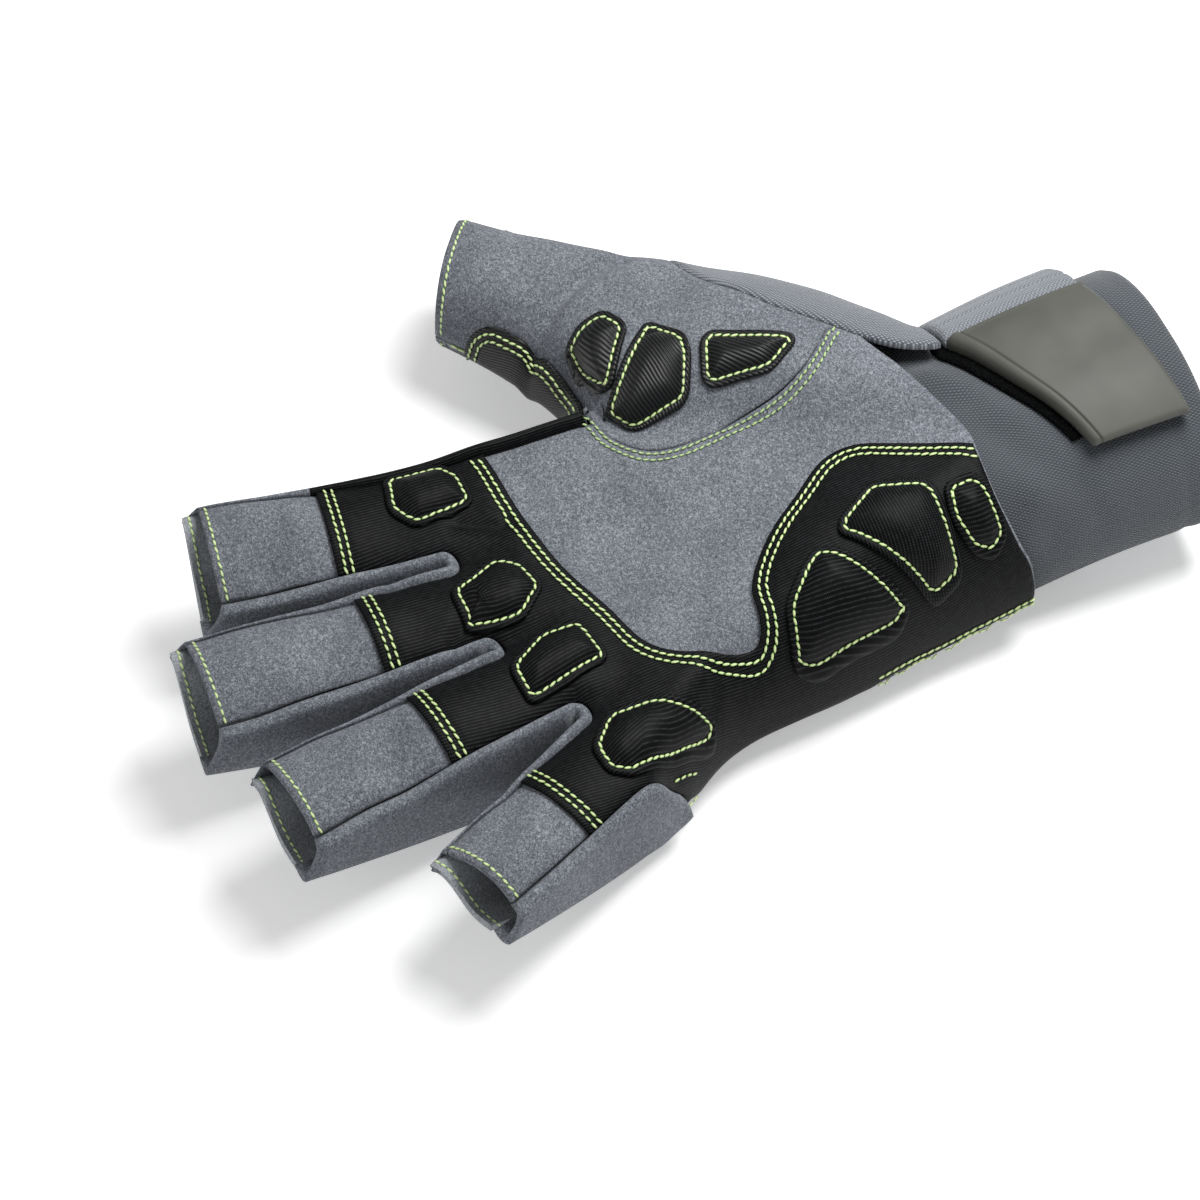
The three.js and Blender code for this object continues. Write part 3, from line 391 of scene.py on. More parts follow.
THUMB_DIVIDE = [(TAB_START_X - 6, STRAP_EDGE_Y - 20), (TAB_START_X - 0.3, STRAP_EDGE_Y + 0.5), (22.8, -71.6),
                (27.2, -65.6), *THUMB_SEAM, (WEB_X + 1, 130)]
KNIT_END = [(0, STRAP_EDGE_Y + 1), (140, STRAP_EDGE_Y + 1)]
PATCH_WINDOW = [(50, 13), (34, 10), (22.8, 9), (11, 7.2), (1.5, 4.6), (-7, 1.2), (-17.5, -2.6), (-21.6, -7),
                (-25.2, -16), (-24.6, -22.4), (-15, -25.2), (-8, -30.6), (0.4, -41.2), (5.4, -49), (5.6, -55),
                (1.8, -62.0), (-5.6, -75.0), (-22, -100)]
WEB_EDGE = [(60, 14), (68.5, 6), (69.6, 1.5), (67.7, -2.9), (65.7, -5), (62.8, -7.2), (60.0, -9.4),
            (56, -11.3),
            (51.7, -12.9), (47.4, -13.9), (43.1, -14.2), (39.4, -12.6), (36, -6)]
gap = SEAM_GAP / 2
divide, wrist_line = curve(THUMB_DIVIDE, 240), curve(WRIST_SEAM, 120)
wrist_line = np.vstack([wrist_line, [(90.0, WRIST_Y + 24)]])
suede_edge, window_line = curve(SUEDE_EDGE, 160), curve(PATCH_WINDOW, 260)
web_line = curve(WEB_EDGE, 130)


def beside(line, to, gap_size):
    """Plan region on one side of a line, closed by two far points."""
    edge = [(p[0] + to[0] * gap_size, p[1] + to[1] * gap_size) for p in line]
    return edge + [(line[-1][0] + to[0] * 260, line[-1][1] + to[1] * 260),
                   (line[0][0] + to[0] * 260, line[0][1] + to[1] * 260)]


# %% Lines round the finger openings and crotches
SIDE_SHARES = np.linspace(1, 0.13, 28)


def roll_share(share, side):
    """How much of the roll is left: on a finger's thumb side it thins towards the tip."""
    return mix(1.0, 0.2, smooth(0.03, 0.85, share)) if side > 0 else 1.0


def puff_share(f, share):
    """The roll is plump beside the black patch and lies flat beside the suede."""
    return mix(1.0, 0.2, smooth(f["tongue"] - 0.12, f["tongue"] + 0.2, share))


def finger_side(f, side, extra, lip):
    """Seam down one side of a finger: x, y, share of the roll, puff, share of the finger's length."""
    line = []
    lip = lip * FAR_LIP if side > 0 else lip
    for share in SIDE_SHARES:
        roll = float(roll_share(share, side))
        x, y = finger_point(f, 1 + lip / f["length"] if share == 1 else share, side, ROLL * roll + extra)
        line.append((x, y, roll, float(puff_share(f, share)), share))
    return line


def root_seam(i, extra, lip=0.0):
    """Down one finger's side, round the crotch and up the next finger."""
    a, b = FINGERS[i], FINGERS[i + 1]
    start = math.atan2(a["n"][1], a["n"][0])
    end = math.atan2(-b["n"][1], -b["n"][0])
    end = end - 2 * math.pi if end > 0 else end
    x, y = ROOTS[i + 1]
    reach = ROLL + extra
    around = [(x + reach * math.cos(t), y + reach * math.sin(t), 1.0, 1.0,
               0.0) for t in np.linspace(start, end, 22)]
    return finger_side(a, -1, extra, lip) + around + finger_side(b, 1, extra, lip)[::-1]


def index_seam(extra, lip=0.0):
    reach = ROLL + extra
    web = [(WEB_X - reach, WEB_Y, 1, 1, 0), (WEB_X - reach, WEB_Y + 10, 1, 1, 0),
           (WEB_X + 0.4 - reach, WEB_Y + 22, 1, 1, 0)]
    side = finger_side(FINGERS[0], 1, extra, lip)[::-1]
    return [tuple(p) for p in curve(web + side[:6:2], 40)] + side[6:]


def pinky_seam(extra, lip=0.0):
    side = finger_side(FINGERS[3], -1, extra, lip)
    end = (ROOTS[4][0] + ROLL + extra + 1.2, ROOTS[4][1] - 4, 1, 1, 0)
    return side[:-3] + [tuple(p) for p in curve([side[-3], side[-1], end], 10)]


def hand_plan(extra, lip):
    points = [(-75, -110), (60, -110), (60, WEB_Y - 2), (WEB_X - ROLL - extra, WEB_Y - 2)]
    points += [p[:2] for p in index_seam(extra, lip)]
    for i in range(3):
        points += [p[:2] for p in root_seam(i, extra, lip)]
    last = [p[:2] for p in pinky_seam(extra, lip)]
    return points + last + [(last[-1][0], ROOTS[4][1] - 6), (-75, ROOTS[4][1] - 6)]


# %% [markdown]
# ## Cutting cloth pieces
# A height over the plan is vertical at the hand's sides, so a mesh that is even in plan would be torn
# there. The cloth is therefore cut in an unrolled plane, as real cloth is cut flat: the sides are laid
# out along their arc. A constrained triangulation takes even points inside and the seam lines as edges,
# so each piece ends exactly on its seam.

# %% The two unrolled planes
SIDE_STRETCH = 2.0
PALM_LAP = 8.0


def hand_unroll(x, y):
    row = row_at(HAND, "y", y)
    length = SIDE_STRETCH * row["round"]
    turn = np.arccos(np.clip(1 - (x - row["outer"]) / row["round"], 0, 1))
    low = row["outer"] + row["round"] - length
    return np.where(x < row["outer"] + row["round"], low + length * turn / (np.pi / 2), x), y


def hand_lay(s, t):
    row = row_at(HAND, "y", t)
    length = SIDE_STRETCH * row["round"]
    turn = np.clip((s - row["outer"] - row["round"]) / length + 1, 0, 1) * np.pi / 2
    return np.where(s < row["outer"] + row["round"], row["outer"] + row["round"] * (1 - np.cos(turn)), s), t


def hand_rim(t):
    row = row_at(HAND, "y", t)
    return row["outer"] + (1 - SIDE_STRETCH) * row["round"]


def thumb_span(along):
    row = row_at(THUMB, "along", along)
    near = row["near"] - PALM_LAP * (1 - smooth(0, 5, along))
    return (near + row["far"]) / 2, (row["far"] - near) / 2


def thumb_unroll(x, y):
    along, across = thumb_place(x, y)
    middle, half = thumb_span(along)
    return np.arcsin(np.clip((across - middle) / half, -1, 1)) * half * 1.2, along


def thumb_lay(s, t):
    middle, half = thumb_span(t)
    return thumb_point(t, middle + half * np.sin(np.clip(s / (half * 1.2), -np.pi / 2, np.pi / 2)))


def thumb_rim(t, side):
    return side * thumb_span(t)[1] * 1.2 * np.pi / 2


PLANES = {
    "hand": dict(unroll=hand_unroll, lay=hand_lay, s=(-60, 54), t=(-86, 86),
                 inside=lambda s, t: (s > hand_rim(t)) & (s < 53),
                 rims=[lambda t: np.stack([hand_rim(t), t], 1)]),
    "thumb": dict(unroll=thumb_unroll, lay=thumb_lay, s=(-72, 62), t=(-57.5, 52),
                  inside=lambda s, t: (np.abs(s) < thumb_rim(t, 1)) & (t < thumb_reach(s, t)),
                  rims=[lambda t: np.stack([thumb_rim(t, -1), t], 1),
                        lambda t: np.stack([thumb_rim(t, 1), t], 1)]),
}


def thumb_reach(s, t):
    return THUMB_OPENING + THUMB_SLANT * np.sin(np.clip(s / thumb_rim(t, 1), -1, 1) * np.pi / 2) * 15


# %% Triangles of one piece between its seam lines
def in_polygon(polygon, x, y):
    found = np.zeros(len(x), bool)
    p = np.array(polygon, float)
    for (ax, ay), (bx, by) in zip(p, np.roll(p, -1, 0)):
        if ay == by:
            continue
        found ^= ((ay > y) != (by > y)) & (x < (bx - ax) * (y - ay) / (by - ay) + ax)
    return found


def cut_cloth(plane_name, regions, holes=(), spacing=1.0, ring=0.45):
    """Flat points and triangles of the piece inside all regions and outside all holes."""
    plane = PLANES[plane_name]
    (s0, s1), (t0, t1) = plane["s"], plane["t"]
    lines = []
    for polygon in list(regions) + list(holes):
        closed = np.vstack([polygon, polygon[:1]])
        lines.append(resample_kept(closed, spacing, plane))
    for rim in plane["rims"]:
        lines.append([rim(np.arange(t0, t1, spacing))])
    if plane_name == "thumb":
        top = np.linspace(-30, 30, 61)
        reach = np.full(61, THUMB_OPENING)
        for _ in range(3):
            reach = thumb_reach(top, reach)
        lines.append([np.stack([top, reach], 1)])
    points, edges = [], []
    for group in lines:
        for line in group:
            base = len(points)
            points += [tuple(p) for p in line]
            edges += [(base + k, base + k + 1) for k in range(len(line) - 1)]
    kept = len(points)
    tree = KDTree(kept)
    for k, p in enumerate(points):
        tree.insert((p[0], p[1], 0), k)
    tree.balance()
    free = []
    for group in lines:
        for line in group:
            along = np.gradient(line, axis=0)
            length = np.maximum(np.linalg.norm(along, axis=1), 1e-9)[:, None]
            side = np.stack([-along[:, 1], along[:, 0]], 1) / length
            free += [tuple(p) for p in np.vstack([line + side * ring, line - side * ring])]
    free = [p for p in free if tree.find((p[0], p[1], 0))[2] > 0.8 * ring]
    rows = np.arange(t0 + 0.3, t1, spacing * 0.87)
    for k, t in enumerate(rows):
        for s in np.arange(s0 + (k % 2) * spacing / 2, s1, spacing):
            if tree.find((s, t, 0))[2] > 0.85 * spacing:
                free.append((s, t))
    free = np.array(free)
    free = free[plane["inside"](free[:, 0], free[:, 1])]
    x, y = plane["lay"](free[:, 0], free[:, 1])
    near = np.ones(len(free), bool)
    for polygon in regions:
        near &= in_polygon(polygon, x, y)
    for polygon in holes:
        near &= ~in_polygon(polygon, x, y)
    points += [tuple(p) for p in free[near]]
    verts, _, faces, *_ = delaunay_2d_cdt([Vector(p) for p in points], edges, [], 0, 1e-4)
    flat = np.array([(v.x, v.y) for v in verts])
    tris = np.array([f for f in faces if len(f) == 3])
    middle = flat[tris].mean(1)
    good = plane["inside"](middle[:, 0], middle[:, 1])
    x, y = plane["lay"](middle[:, 0], middle[:, 1])
    for polygon in regions:
        good &= in_polygon(polygon, x, y)
    for polygon in holes:
        good &= ~in_polygon(polygon, x, y)
    a, b, c = (flat[tris[:, k]] for k in range(3))
    area = np.abs((b[:, 0] - a[:, 0]) * (c[:, 1] - a[:, 1]) - (b[:, 1] - a[:, 1]) * (c[:, 0] - a[:, 0])) / 2
    good &= area > 1e-3
    tris = largest_part(tris[good])
    used, back = np.unique(tris, return_inverse=True)
    return flat[used], back.reshape(-1, 3)


def resample_kept(closed, spacing, plane):
    """The parts of a plan line that cross the piece's plane, in even steps of the unrolled plane."""
    p = resample(closed, spacing * 0.9)
    x, y = p[:, 0], p[:, 1]
    s, t = plane["unroll"](x, y)
    back_x, back_y = plane["lay"](s, t)
    (s0, s1), (t0, t1) = plane["s"], plane["t"]
    held = (np.hypot(back_x - x, back_y - y) < 0.05) & (s > s0) & (s < s1) & (t > t0) & (t < t1)
    near = held | np.roll(held, 1) | np.roll(held, -1)
    parts, run = [], []
    for k in range(len(p)):
        if near[k] and t0 - 2 < t[k] < t1 + 2:
            run.append((s[k], t[k]))
        elif len(run) > 1:
            parts.append(np.array(run))
            run = []
        else:
            run = []
    if len(run) > 1:
        parts.append(np.array(run))
    return parts


def largest_part(tris):
    """Drops crumbs: keeps the largest connected set of triangles."""
    parent = np.arange(tris.max() + 1)

    def top(k):
        while parent[k] != k:
            parent[k] = parent[parent[k]]
            k = parent[k]
        return k

    for a, b, c in tris:
        ra, rb, rc = top(a), top(b), top(c)
        parent[rb] = ra
        parent[top(rc)] = ra
    owner = np.array([top(k) for k in tris[:, 0]])
    values, counts = np.unique(owner, return_counts=True)
    return tris[owner == values[np.argmax(counts)]]


# %% [markdown]
# ## From flat triangles to a wall
# The flat points are laid on the skin and moved along its normal, once for the outer face and once for
# the inner one. The rim between them closes the piece. Its outer corner is drawn in a little, because
# cut suede and woven tape have soft edges. The unrolled plane is kept as a UV map, so that weave and ribs
# follow the cloth round the hand's sides.


# %% Points and normals of a skin over the unrolled plane
def skin_points(plane_name, skin, s, t):
    x, y = PLANES[plane_name]["lay"](s, t)
    return np.stack([x, y, skin(x, y)], -1)


def skin_normals(plane_name, skin, s, t, sign):
    step = 0.12
    du = skin_points(plane_name, skin, s + step, t) - skin_points(plane_name, skin, s - step, t)
    dv = skin_points(plane_name, skin, s, t + step) - skin_points(plane_name, skin, s, t - step)
    n = np.cross(du, dv)
    n = n * np.sign(n[:, 2:3] + 1e-12) * sign
    return n / np.maximum(np.linalg.norm(n, axis=1), 1e-9)[:, None]


def open_edges(tris):
    """Rim edges of a triangle set, in the direction of their triangle."""
    pairs = np.vstack([tris[:, [0, 1]], tris[:, [1, 2]], tris[:, [2, 0]]])
    keys = {}
    for a, b in pairs:
        keys[(a, b)] = True
    return [(a, b) for a, b in keys if (b, a) not in keys]


pieces = {}


def make_mesh(name, points_mm, faces, uv_mm=None, sharp=()):
    """A closed mesh at the origin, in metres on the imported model."""
    mesh = bpy.data.meshes.new(name + "_sewn")
    verts = (np.array(points_mm) + np.array(SHIFT)) * MM
    mesh.from_pydata(verts.tolist(), [], [tuple(int(k) for k in f) for f in faces])
    mesh.polygons.foreach_set("use_smooth", [True] * len(mesh.polygons))
    if uv_mm is not None:
        layer = mesh.uv_layers.new(name="cloth")
        index = np.empty(len(mesh.loops), int)
        mesh.loops.foreach_get("vertex_index", index)
        layer.data.foreach_set("uv", (np.array(uv_mm)[index] * MM).ravel())
    if len(sharp):
        marks = {tuple(sorted((int(a), int(b)))) for a, b in sharp}
        flags = [tuple(sorted(e.vertices)) in marks for e in mesh.edges]
        mesh.attributes.new("sharp_edge", "BOOLEAN", "EDGE").data.foreach_set("value", flags)
    mesh.validate()
    mesh.update()
    obj = bpy.data.objects.new(name + "_sewn", mesh)
    bpy.context.scene.collection.objects.link(obj)
    pieces[name] = obj
    return obj


def settle(points, tris, rim, most=1.0):
    """Moves a point that stands off its neighbours back among them. The rim may stand off more."""
    allowed = np.full(len(points), most)
    allowed[rim] = 1.4 * most
    pairs = np.vstack([tris[:, [0, 1]], tris[:, [1, 2]], tris[:, [2, 0]]])
    pairs = np.vstack([pairs, pairs[:, ::-1]])
    for _ in range(3):
        total, number = np.zeros_like(points), np.zeros(len(points))
        np.add.at(total, pairs[:, 0], points[pairs[:, 1]])
        np.add.at(number, pairs[:, 0], 1)
        middle = total / np.maximum(number, 1)[:, None]
        far = np.linalg.norm(points - middle, axis=1) > allowed
        points = np.where(far[:, None], middle, points)
    return points


def cloth_wall(name, plane_name, skin, sign, low, high, cut, relief=None, soft=0.35):
    """Closed piece of cloth between two offsets from a skin; relief adds height to its outer face."""
    flat, tris = cut
    s, t = flat[:, 0], flat[:, 1]
    at = skin_points(plane_name, skin, s, t)
    n = skin_normals(plane_name, skin, s, t, sign)
    rise = np.full(len(flat), float(high))
    if relief is not None:
        rise = rise + relief(s, t)
    a, b, c = (at[tris[:, k]] for k in range(3))
    facing = np.einsum("ij,ij->i", np.cross(b - a, c - a), n[tris[:, 0]])
    tris = np.where((facing < 0)[:, None], tris[:, ::-1], tris)
    rim = open_edges(tris)
    edge = np.array(sorted({k for pair in rim for k in pair}))
    tree = KDTree(len(edge))
    for k in edge:
        tree.insert((flat[k, 0], flat[k, 1], 0), int(k))
    tree.balance()
    away = np.array([tree.find((p[0], p[1], 0))[2] for p in flat])
    rise -= soft * np.exp(-((away / 0.55) ** 2))
    count = len(flat)
    outer, inner = at + n * rise[:, None], at + n * low
    if plane_name == "thumb":
        outer, inner = settle(outer, tris, edge), settle(inner, tris, edge)
    points = np.vstack([outer, inner])
    faces = tris.tolist() + (tris[:, ::-1] + count).tolist()
    faces += [(b2, a2, a2 + count, b2 + count) for a2, b2 in rim]
    sharp = [(a2 + count, b2 + count) for a2, b2 in rim]
    obj = make_mesh(name, points, faces, np.vstack([flat, flat]), sharp)
    size = np.linalg.norm(np.cross(b - a, c - a), axis=1).sum() / 2
    obj["cloth_area"] = float(size) * MM * MM
    span = flat.max(0) - flat.min(0)
    obj["cloth_flat"] = [float(span[0]) * MM, float(span[1]) * MM]
    print(f"{name}: {len(faces)} faces, {span[0]:.0f} x {span[1]:.0f} mm flat, {size / 100:.1f} cm2")
    return obj


# %% [markdown]
# ## Stitch rows
# The rows are drawn before the panels, because each row pulls its cloth down a little. Their thread is
# made much later, on the same lines.

# %% Rows along the seams
rows = []  # piece that carries the row, its line in the unrolled plane, lift over the skin, thread


def plane_of(piece):
    return "thumb" if piece in ("web_patch", "thumb_panel") or piece.startswith("thenar") else "hand"


def add_row(piece, line, lift, thread="lime", unrolled=False):
    line = resample(line, 0.5)
    if not unrolled:
        line = np.stack(PLANES[plane_of(piece)]["unroll"](line[:, 0], line[:, 1]), 1)
    rows.append((piece, line, lift, thread))


def shifted(line, distance):
    """The line moved sideways, to its right for a positive distance."""
    p = np.array(line, float)
    along = np.gradient(p, axis=0)
    along /= np.maximum(np.linalg.norm(along, axis=1), 1e-9)[:, None]
    return p + np.stack([along[:, 1], -along[:, 0]], 1) * distance


def clipped(line, test):
    """Longest run of a line where the test holds."""
    best, start = (0, 0), None
    for k, ok in enumerate([bool(test(p)) for p in line] + [False]):
        if ok and start is None:
            start = k
        if not ok and start is not None:
            best = max(best, (k - start, start))
            start = None
    return np.array(line[best[1]:best[1] + best[0]])


patch_lift = LAP_GAP + PATCH_WALL
index_edge = np.array([p[:2] for p in index_seam(1.0)])
for away in (1.4, 2.8):
    line = shifted(window_line, away)
    line = clipped(line, lambda p: p[0] < np.interp(p[1], index_edge[:, 1], index_edge[:, 0], left=39) - 0.4
                   and p[1] > np.interp(p[0], wrist_line[:, 0], wrist_line[:, 1]) + 1.4)
    add_row("palm_patch", line, patch_lift)
for f in FINGERS:
    for away in (1.6, 3.0):
        share = f["tongue"] - away / f["length"]
        ends = [finger_point(f, share, side, ROLL * roll_share(share, side) + 0.9) for side in (1, -1)]
        add_row("palm_patch", spread(ends, 24), patch_lift)
seam_line = clipped(divide, lambda p: -61.5 < p[1] < WEB_Y - 0.4)
for away in (1.0, 2.4):
    add_row("palm_panel", shifted(seam_line, -away), 0.0, "moss")
for away in (1.2, 2.6):
    edge = clipped(web_line, lambda p: p[0] > WEB_X + 1.0 and p[1] < 5)
    edge = np.stack(thumb_unroll(edge[:, 0], edge[:, 1]), 1)
    add_row("web_patch", shifted(edge, away * 1.1), 2 * LAP_GAP + PATCH_WALL, unrolled=True)
side_y = np.linspace(-79.5, -46, 60)
for away in (0.3, 1.8):
    wander = 0.5 * np.sin(side_y * 0.55) * (away < 1)
    add_row("palm_patch", np.stack([hand_rim(side_y) + away + wander, side_y], 1), patch_lift, unrolled=True)
for away in (0.0, 1.5):
    add_row("palm_patch", [(-42.6 + away, 2.0), (-40.6 + away, -2.4)], patch_lift)
print("rows so far:", len(rows))


def row_grooves(piece, depth=0.28, wide=0.75):
    """Height taken off a piece along the rows it carries."""
    lines = [line for owner, line, _, _ in rows if owner == piece]

    def relief(s, t):
        z = np.zeros(len(s))
        for line in lines:
            z = np.minimum(z, -depth * np.exp(-((distance_to(line[::3], s, t) / wide) ** 2)))
        return z

    return relief


# %% [markdown]
# ## Panels
# Palm, back, thumb and the knit along the thumb side, then the black patch and the web patch on top.

# %% Palm and back
palm_divide = np.vstack([divide[divide[:, 1] < WEB_Y], [(WEB_X, WEB_Y), (WEB_X + 30, 130)]])
palm_side = beside(palm_divide, (-1, 0), gap)
thumb_side = beside(divide, (1, 0), gap)
palm_cut = cut_cloth("hand", [hand_plan(0.06, 0), palm_side, beside(wrist_line, (0, 1), 0)])
cloth_wall("palm_panel", "hand", front_at, 1, -SUEDE_WALL, 0, palm_cut, row_grooves("palm_panel"))
back_cut = cut_cloth("hand", [hand_plan(0.06, HEM_LIP), palm_side, beside(wrist_line, (0, 1), 0)],
                     spacing=1.2)
cloth_wall("back_panel", "hand", back_at, -1, -KNIT_WALL, 0, back_cut)

# %% Thumb and the knit beside it
thumb_cut = cut_cloth("thumb", [thumb_side, beside(suede_edge, (0, 1), gap)])
cloth_wall("thumb_panel", "thumb", front_at, 1, -SUEDE_WALL, 0, thumb_cut)
thumb_back_cut = cut_cloth("thumb", [thumb_side, beside(KNIT_END, (0, 1), 0)], spacing=1.3)
cloth_wall("thumb_back", "thumb", back_at, -1, -SUEDE_WALL, 0, thumb_back_cut)
knit_cut = cut_cloth("thumb",
                     [thumb_side, beside(suede_edge, (0, -1), 2 * gap),
                      beside(KNIT_END, (0, 1), 0)], spacing=0.8)
cloth_wall("knit_side_panel", "thumb", front_at, 1, -KNIT_WALL, 0.2, knit_cut, soft=0.7)

# %% Black patch and web patch
window = [tuple(p) for p in window_line] + [(60, -100)]
tongue_ends = []
for f in FINGERS:
    corners = [(f["tongue"], 1), (1.3, 1), (1.3, -1), (f["tongue"], -1)]
    tongue_ends.append([finger_point(f, share, side, -2) for share, side in corners])
patch_cut = cut_cloth("hand", [hand_plan(0.2, 0), palm_side, beside(wrist_line, (0, 1), 0.6)],
                      [window] + tongue_ends, spacing=0.85)
cloth_wall("palm_patch", "hand", front_at, 1, LAP_GAP, patch_lift, patch_cut, row_grooves("palm_patch"),
           soft=0.3)
web_plan = [tuple(p) for p in web_line] + [(38.9, 30)]
web_cut = cut_cloth("thumb", [web_plan, beside(divide, (1, 0), 3 * gap)], spacing=0.7)
cloth_wall("web_patch", "thumb", front_at, 1, 2 * LAP_GAP, 2 * LAP_GAP + PATCH_WALL, web_cut,
           row_grooves("web_patch"), soft=0.3)

# %% [markdown]
# ## Strips between the fingers
# A fourchette is one long strip that runs down a finger's side, round the crotch and up the next finger.
# It is rolled, so it is a channel swept along the seam: a puffed shoulder at each seam and a side wall.


# %% Sweep of a rolled channel
ROLL_PUFF, SEAM_TUCK = 1.9, 0.8
STRIP_OUTER = [  # share of the roll, share of the height, rise in mm, rise as a share of the puff
    (0.03, 0, -0.7, 0.35), (0.12, 0, -0.1, 0.6), (0.38, 0, 0.05, 1), (0.68, 0, 0, 0.85),
    (0.92, 0.07, 0, 0.25), (1, 0.28, 0, 0),
    (1, 0.62, 0, 0), (0.96, 0.9, 0, 0), (0.74, 1, 0.25, 0), (0.35, 1, -0.1, 0), (0.03, 1, 0.3, 0)]
STRIP_INNER = [(0.5, 0.84, 0, 0), (0.62, 0.6, 0, 0), (0.62, 0.35, 0, 0), (0.45, 0.16, 0, 0)]


def strip(name, front_seam, back_seam):
    front_line, back_line = between(front_seam, 150), between(back_seam, 150)
    along = np.gradient(front_line[:, :2], axis=0)
    along /= np.maximum(np.linalg.norm(along, axis=1), 1e-6)[:, None]
    out = np.stack([along[:, 1], -along[:, 0]], 1)
    top = front_at(front_line[:, 0], front_line[:, 1])
    low = back_at(back_line[:, 0], back_line[:, 1])
    outer, inner = curve(STRIP_OUTER, 36), curve(STRIP_INNER, 8)
    tuck = np.array([(0, 1, 1.7, 0), (0, 1, 2.1, 0), (0, 0, -1.7, 0), (0, 0, -1.3, 0)])
    section = np.vstack([outer, tuck[:2], inner, tuck[2:]])
    aside = np.zeros(len(section))
    aside[[37, 38, 48, 49]] = -SEAM_TUCK
    roll, puff = front_line[:, 2], front_line[:, 3]
    height = top - low
    thin = np.clip(height / 8, 0, 1)[:, None]
    reach = section[None, :, 0] * ROLL * 0.96 * roll[:, None] + aside[None, :]
    drop = section[None, :, 1]
    rise = (section[None, :, 2] + section[None, :, 3] * ROLL_PUFF * (puff * roll)[:, None]) * thin
    xy = mix(front_line[:, None, :2], back_line[:, None, :2],
             drop[:, :, None]) + out[:, None, :] * reach[:, :, None]
    z = mix(top[:, None], low[:, None], drop) + rise
    points = np.concatenate([xy, z[:, :, None]], 2).reshape(-1, 3)
    count, size = len(front_line), len(section)
    grid = np.arange(count * size).reshape(count, size)
    ahead = np.roll(grid, -1, 1)
    faces = np.stack([grid[:-1], ahead[:-1], ahead[1:], grid[1:]], -1).reshape(-1, 4).tolist()
    faces += [tuple(int(k) for k in grid[0][::-1]), tuple(int(k) for k in grid[-1])]
    across = np.concatenate([[0], np.cumsum(np.linalg.norm(np.diff(points[:size], axis=0), axis=1))])
    station = np.concatenate([[0], np.cumsum(np.linalg.norm(np.diff(front_line[:, :2], axis=0), axis=1))])
    uv = np.stack(np.meshgrid(across, station), -1).reshape(-1, 2)
    obj = make_mesh(name, points, faces, uv)
    bm = bmesh.new()
    bm.from_mesh(obj.data)
    bmesh.ops.triangulate(bm, faces=[f for f in bm.faces if len(f.verts) > 4])
    bmesh.ops.recalc_face_normals(bm, faces=bm.faces[:])
    bm.to_mesh(obj.data)
    bm.free()
    outside = points.reshape(count, size, 3)[:, :37]
    widths = np.linalg.norm(np.diff(outside, axis=1), axis=2).sum(1)
    lengths = np.linalg.norm(np.diff(outside, axis=0), axis=2)
    wide, long = float(widths.max()), float(lengths.sum(0).max())
    obj["cloth_flat"] = [wide * MM, long * MM]
    obj["cloth_area"] = float((widths[:-1] * lengths.mean(1)).sum()) * MM * MM
    print(f"{name}: strip {wide:.0f} x {long:.0f} mm")
    return obj, front_line


# %% Fourchettes, little finger side and index side
for i, name in enumerate(("fourchette_index_middle", "fourchette_middle_ring", "fourchette_ring_pinky")):
    strip(name, root_seam(i, 0), root_seam(i, 0, HEM_LIP))
strip("pinky_side_strip", pinky_seam(0), pinky_seam(0, HEM_LIP))
index_strip, index_line = strip("index_side_panel", index_seam(0), index_seam(0, HEM_LIP))

# %% [markdown]
# ## Padded pieces
# Ten small foam pads lie under black ribbed cloth. Each has a flat border, a stitched line that pinches
# it down and a soft puff inside that line. The puff is a height that depends only on the distance from
# the outline, so every pad swells in the same way whatever its shape.

# %% Outlines of the pads
PADS = [  # name, skin that carries it, direction of its ribs in degrees, corners
    ("pad_index", "hand", 90,
     [(36.8, 30.8), (36.6, 19), (32.4, 15.8), (24.6, 15.8), (23.2, 28.6), (28.6, 32.8)]),
    ("pad_middle", "hand", 90,
     [(6.8, 28.4), (11.8, 17), (8.6, 12.4), (1.4, 10.6), (-3.6, 16.6), (-2.6, 28.2)]),
    ("pad_ring", "hand", 100, [(-13.6, 24.2), (-7.8, 15.4), (-8, 7), (-18.4, 5.2), (-22.4, 23.4)]),
    ("pad_pinky", "hand", 110,
     [(-35.6, 16.2), (-29, 10.2), (-28.6, 1.6), (-33, -9.2), (-36, -7.6), (-43.4, 11), (-41.8, 15.6)]),
    ("heel_pad_outer", "hand", 90,
     [(-14, -38), (-15.2, -41.6), (-25.4, -53), (-27.6, -50), (-30.2, -32), (-29.2, -27), (-21, -28.8)]),
    ("heel_pad_middle", "hand", 0,
     [(-5.2, -53.6), (-10, -64), (-23.8, -64.9), (-26, -57.2), (-13.4, -43.4), (-10.6, -44.6)]),
    ("heel_pad_wrist", "hand", 90,
     [(-11.4, -65.4), (-10.6, -71.6), (-13, -74), (-20.8, -75.4), (-23, -71.8), (-21.8, -67.2),
      (-17, -64.4)]),
    ("thenar_pad_upper", "thumb", 15,
     [(53.8, -14.2), (55.8, -18), (55.4, -23.4), (49.6, -26.2), (39.6, -19), (40.8, -17), (46.4, -14.8)]),
    ("thenar_pad_middle", "thumb", 15,
     [(48.8, -29.6), (42, -35), (37.4, -34.6), (29.8, -31), (30.2, -19), (36.2, -15.8), (38.4, -17.8),
      (44.8, -24.6)]),
    ("thenar_pad_wrist", "thumb", 42,
     [(38.6, -36.6), (40, -39.4), (32, -53.6), (29.6, -53.4), (26.2, -47), (29.4, -35.6), (31.8, -34.2)]),
]
PAD_CORNER, PAD_CORNER_MAX = 0.32, 2.3
PAD_CREASES = {"thenar_pad_middle": [(43.6, -21.5), (45.2, -27.5), (44.0, -33.5)]}


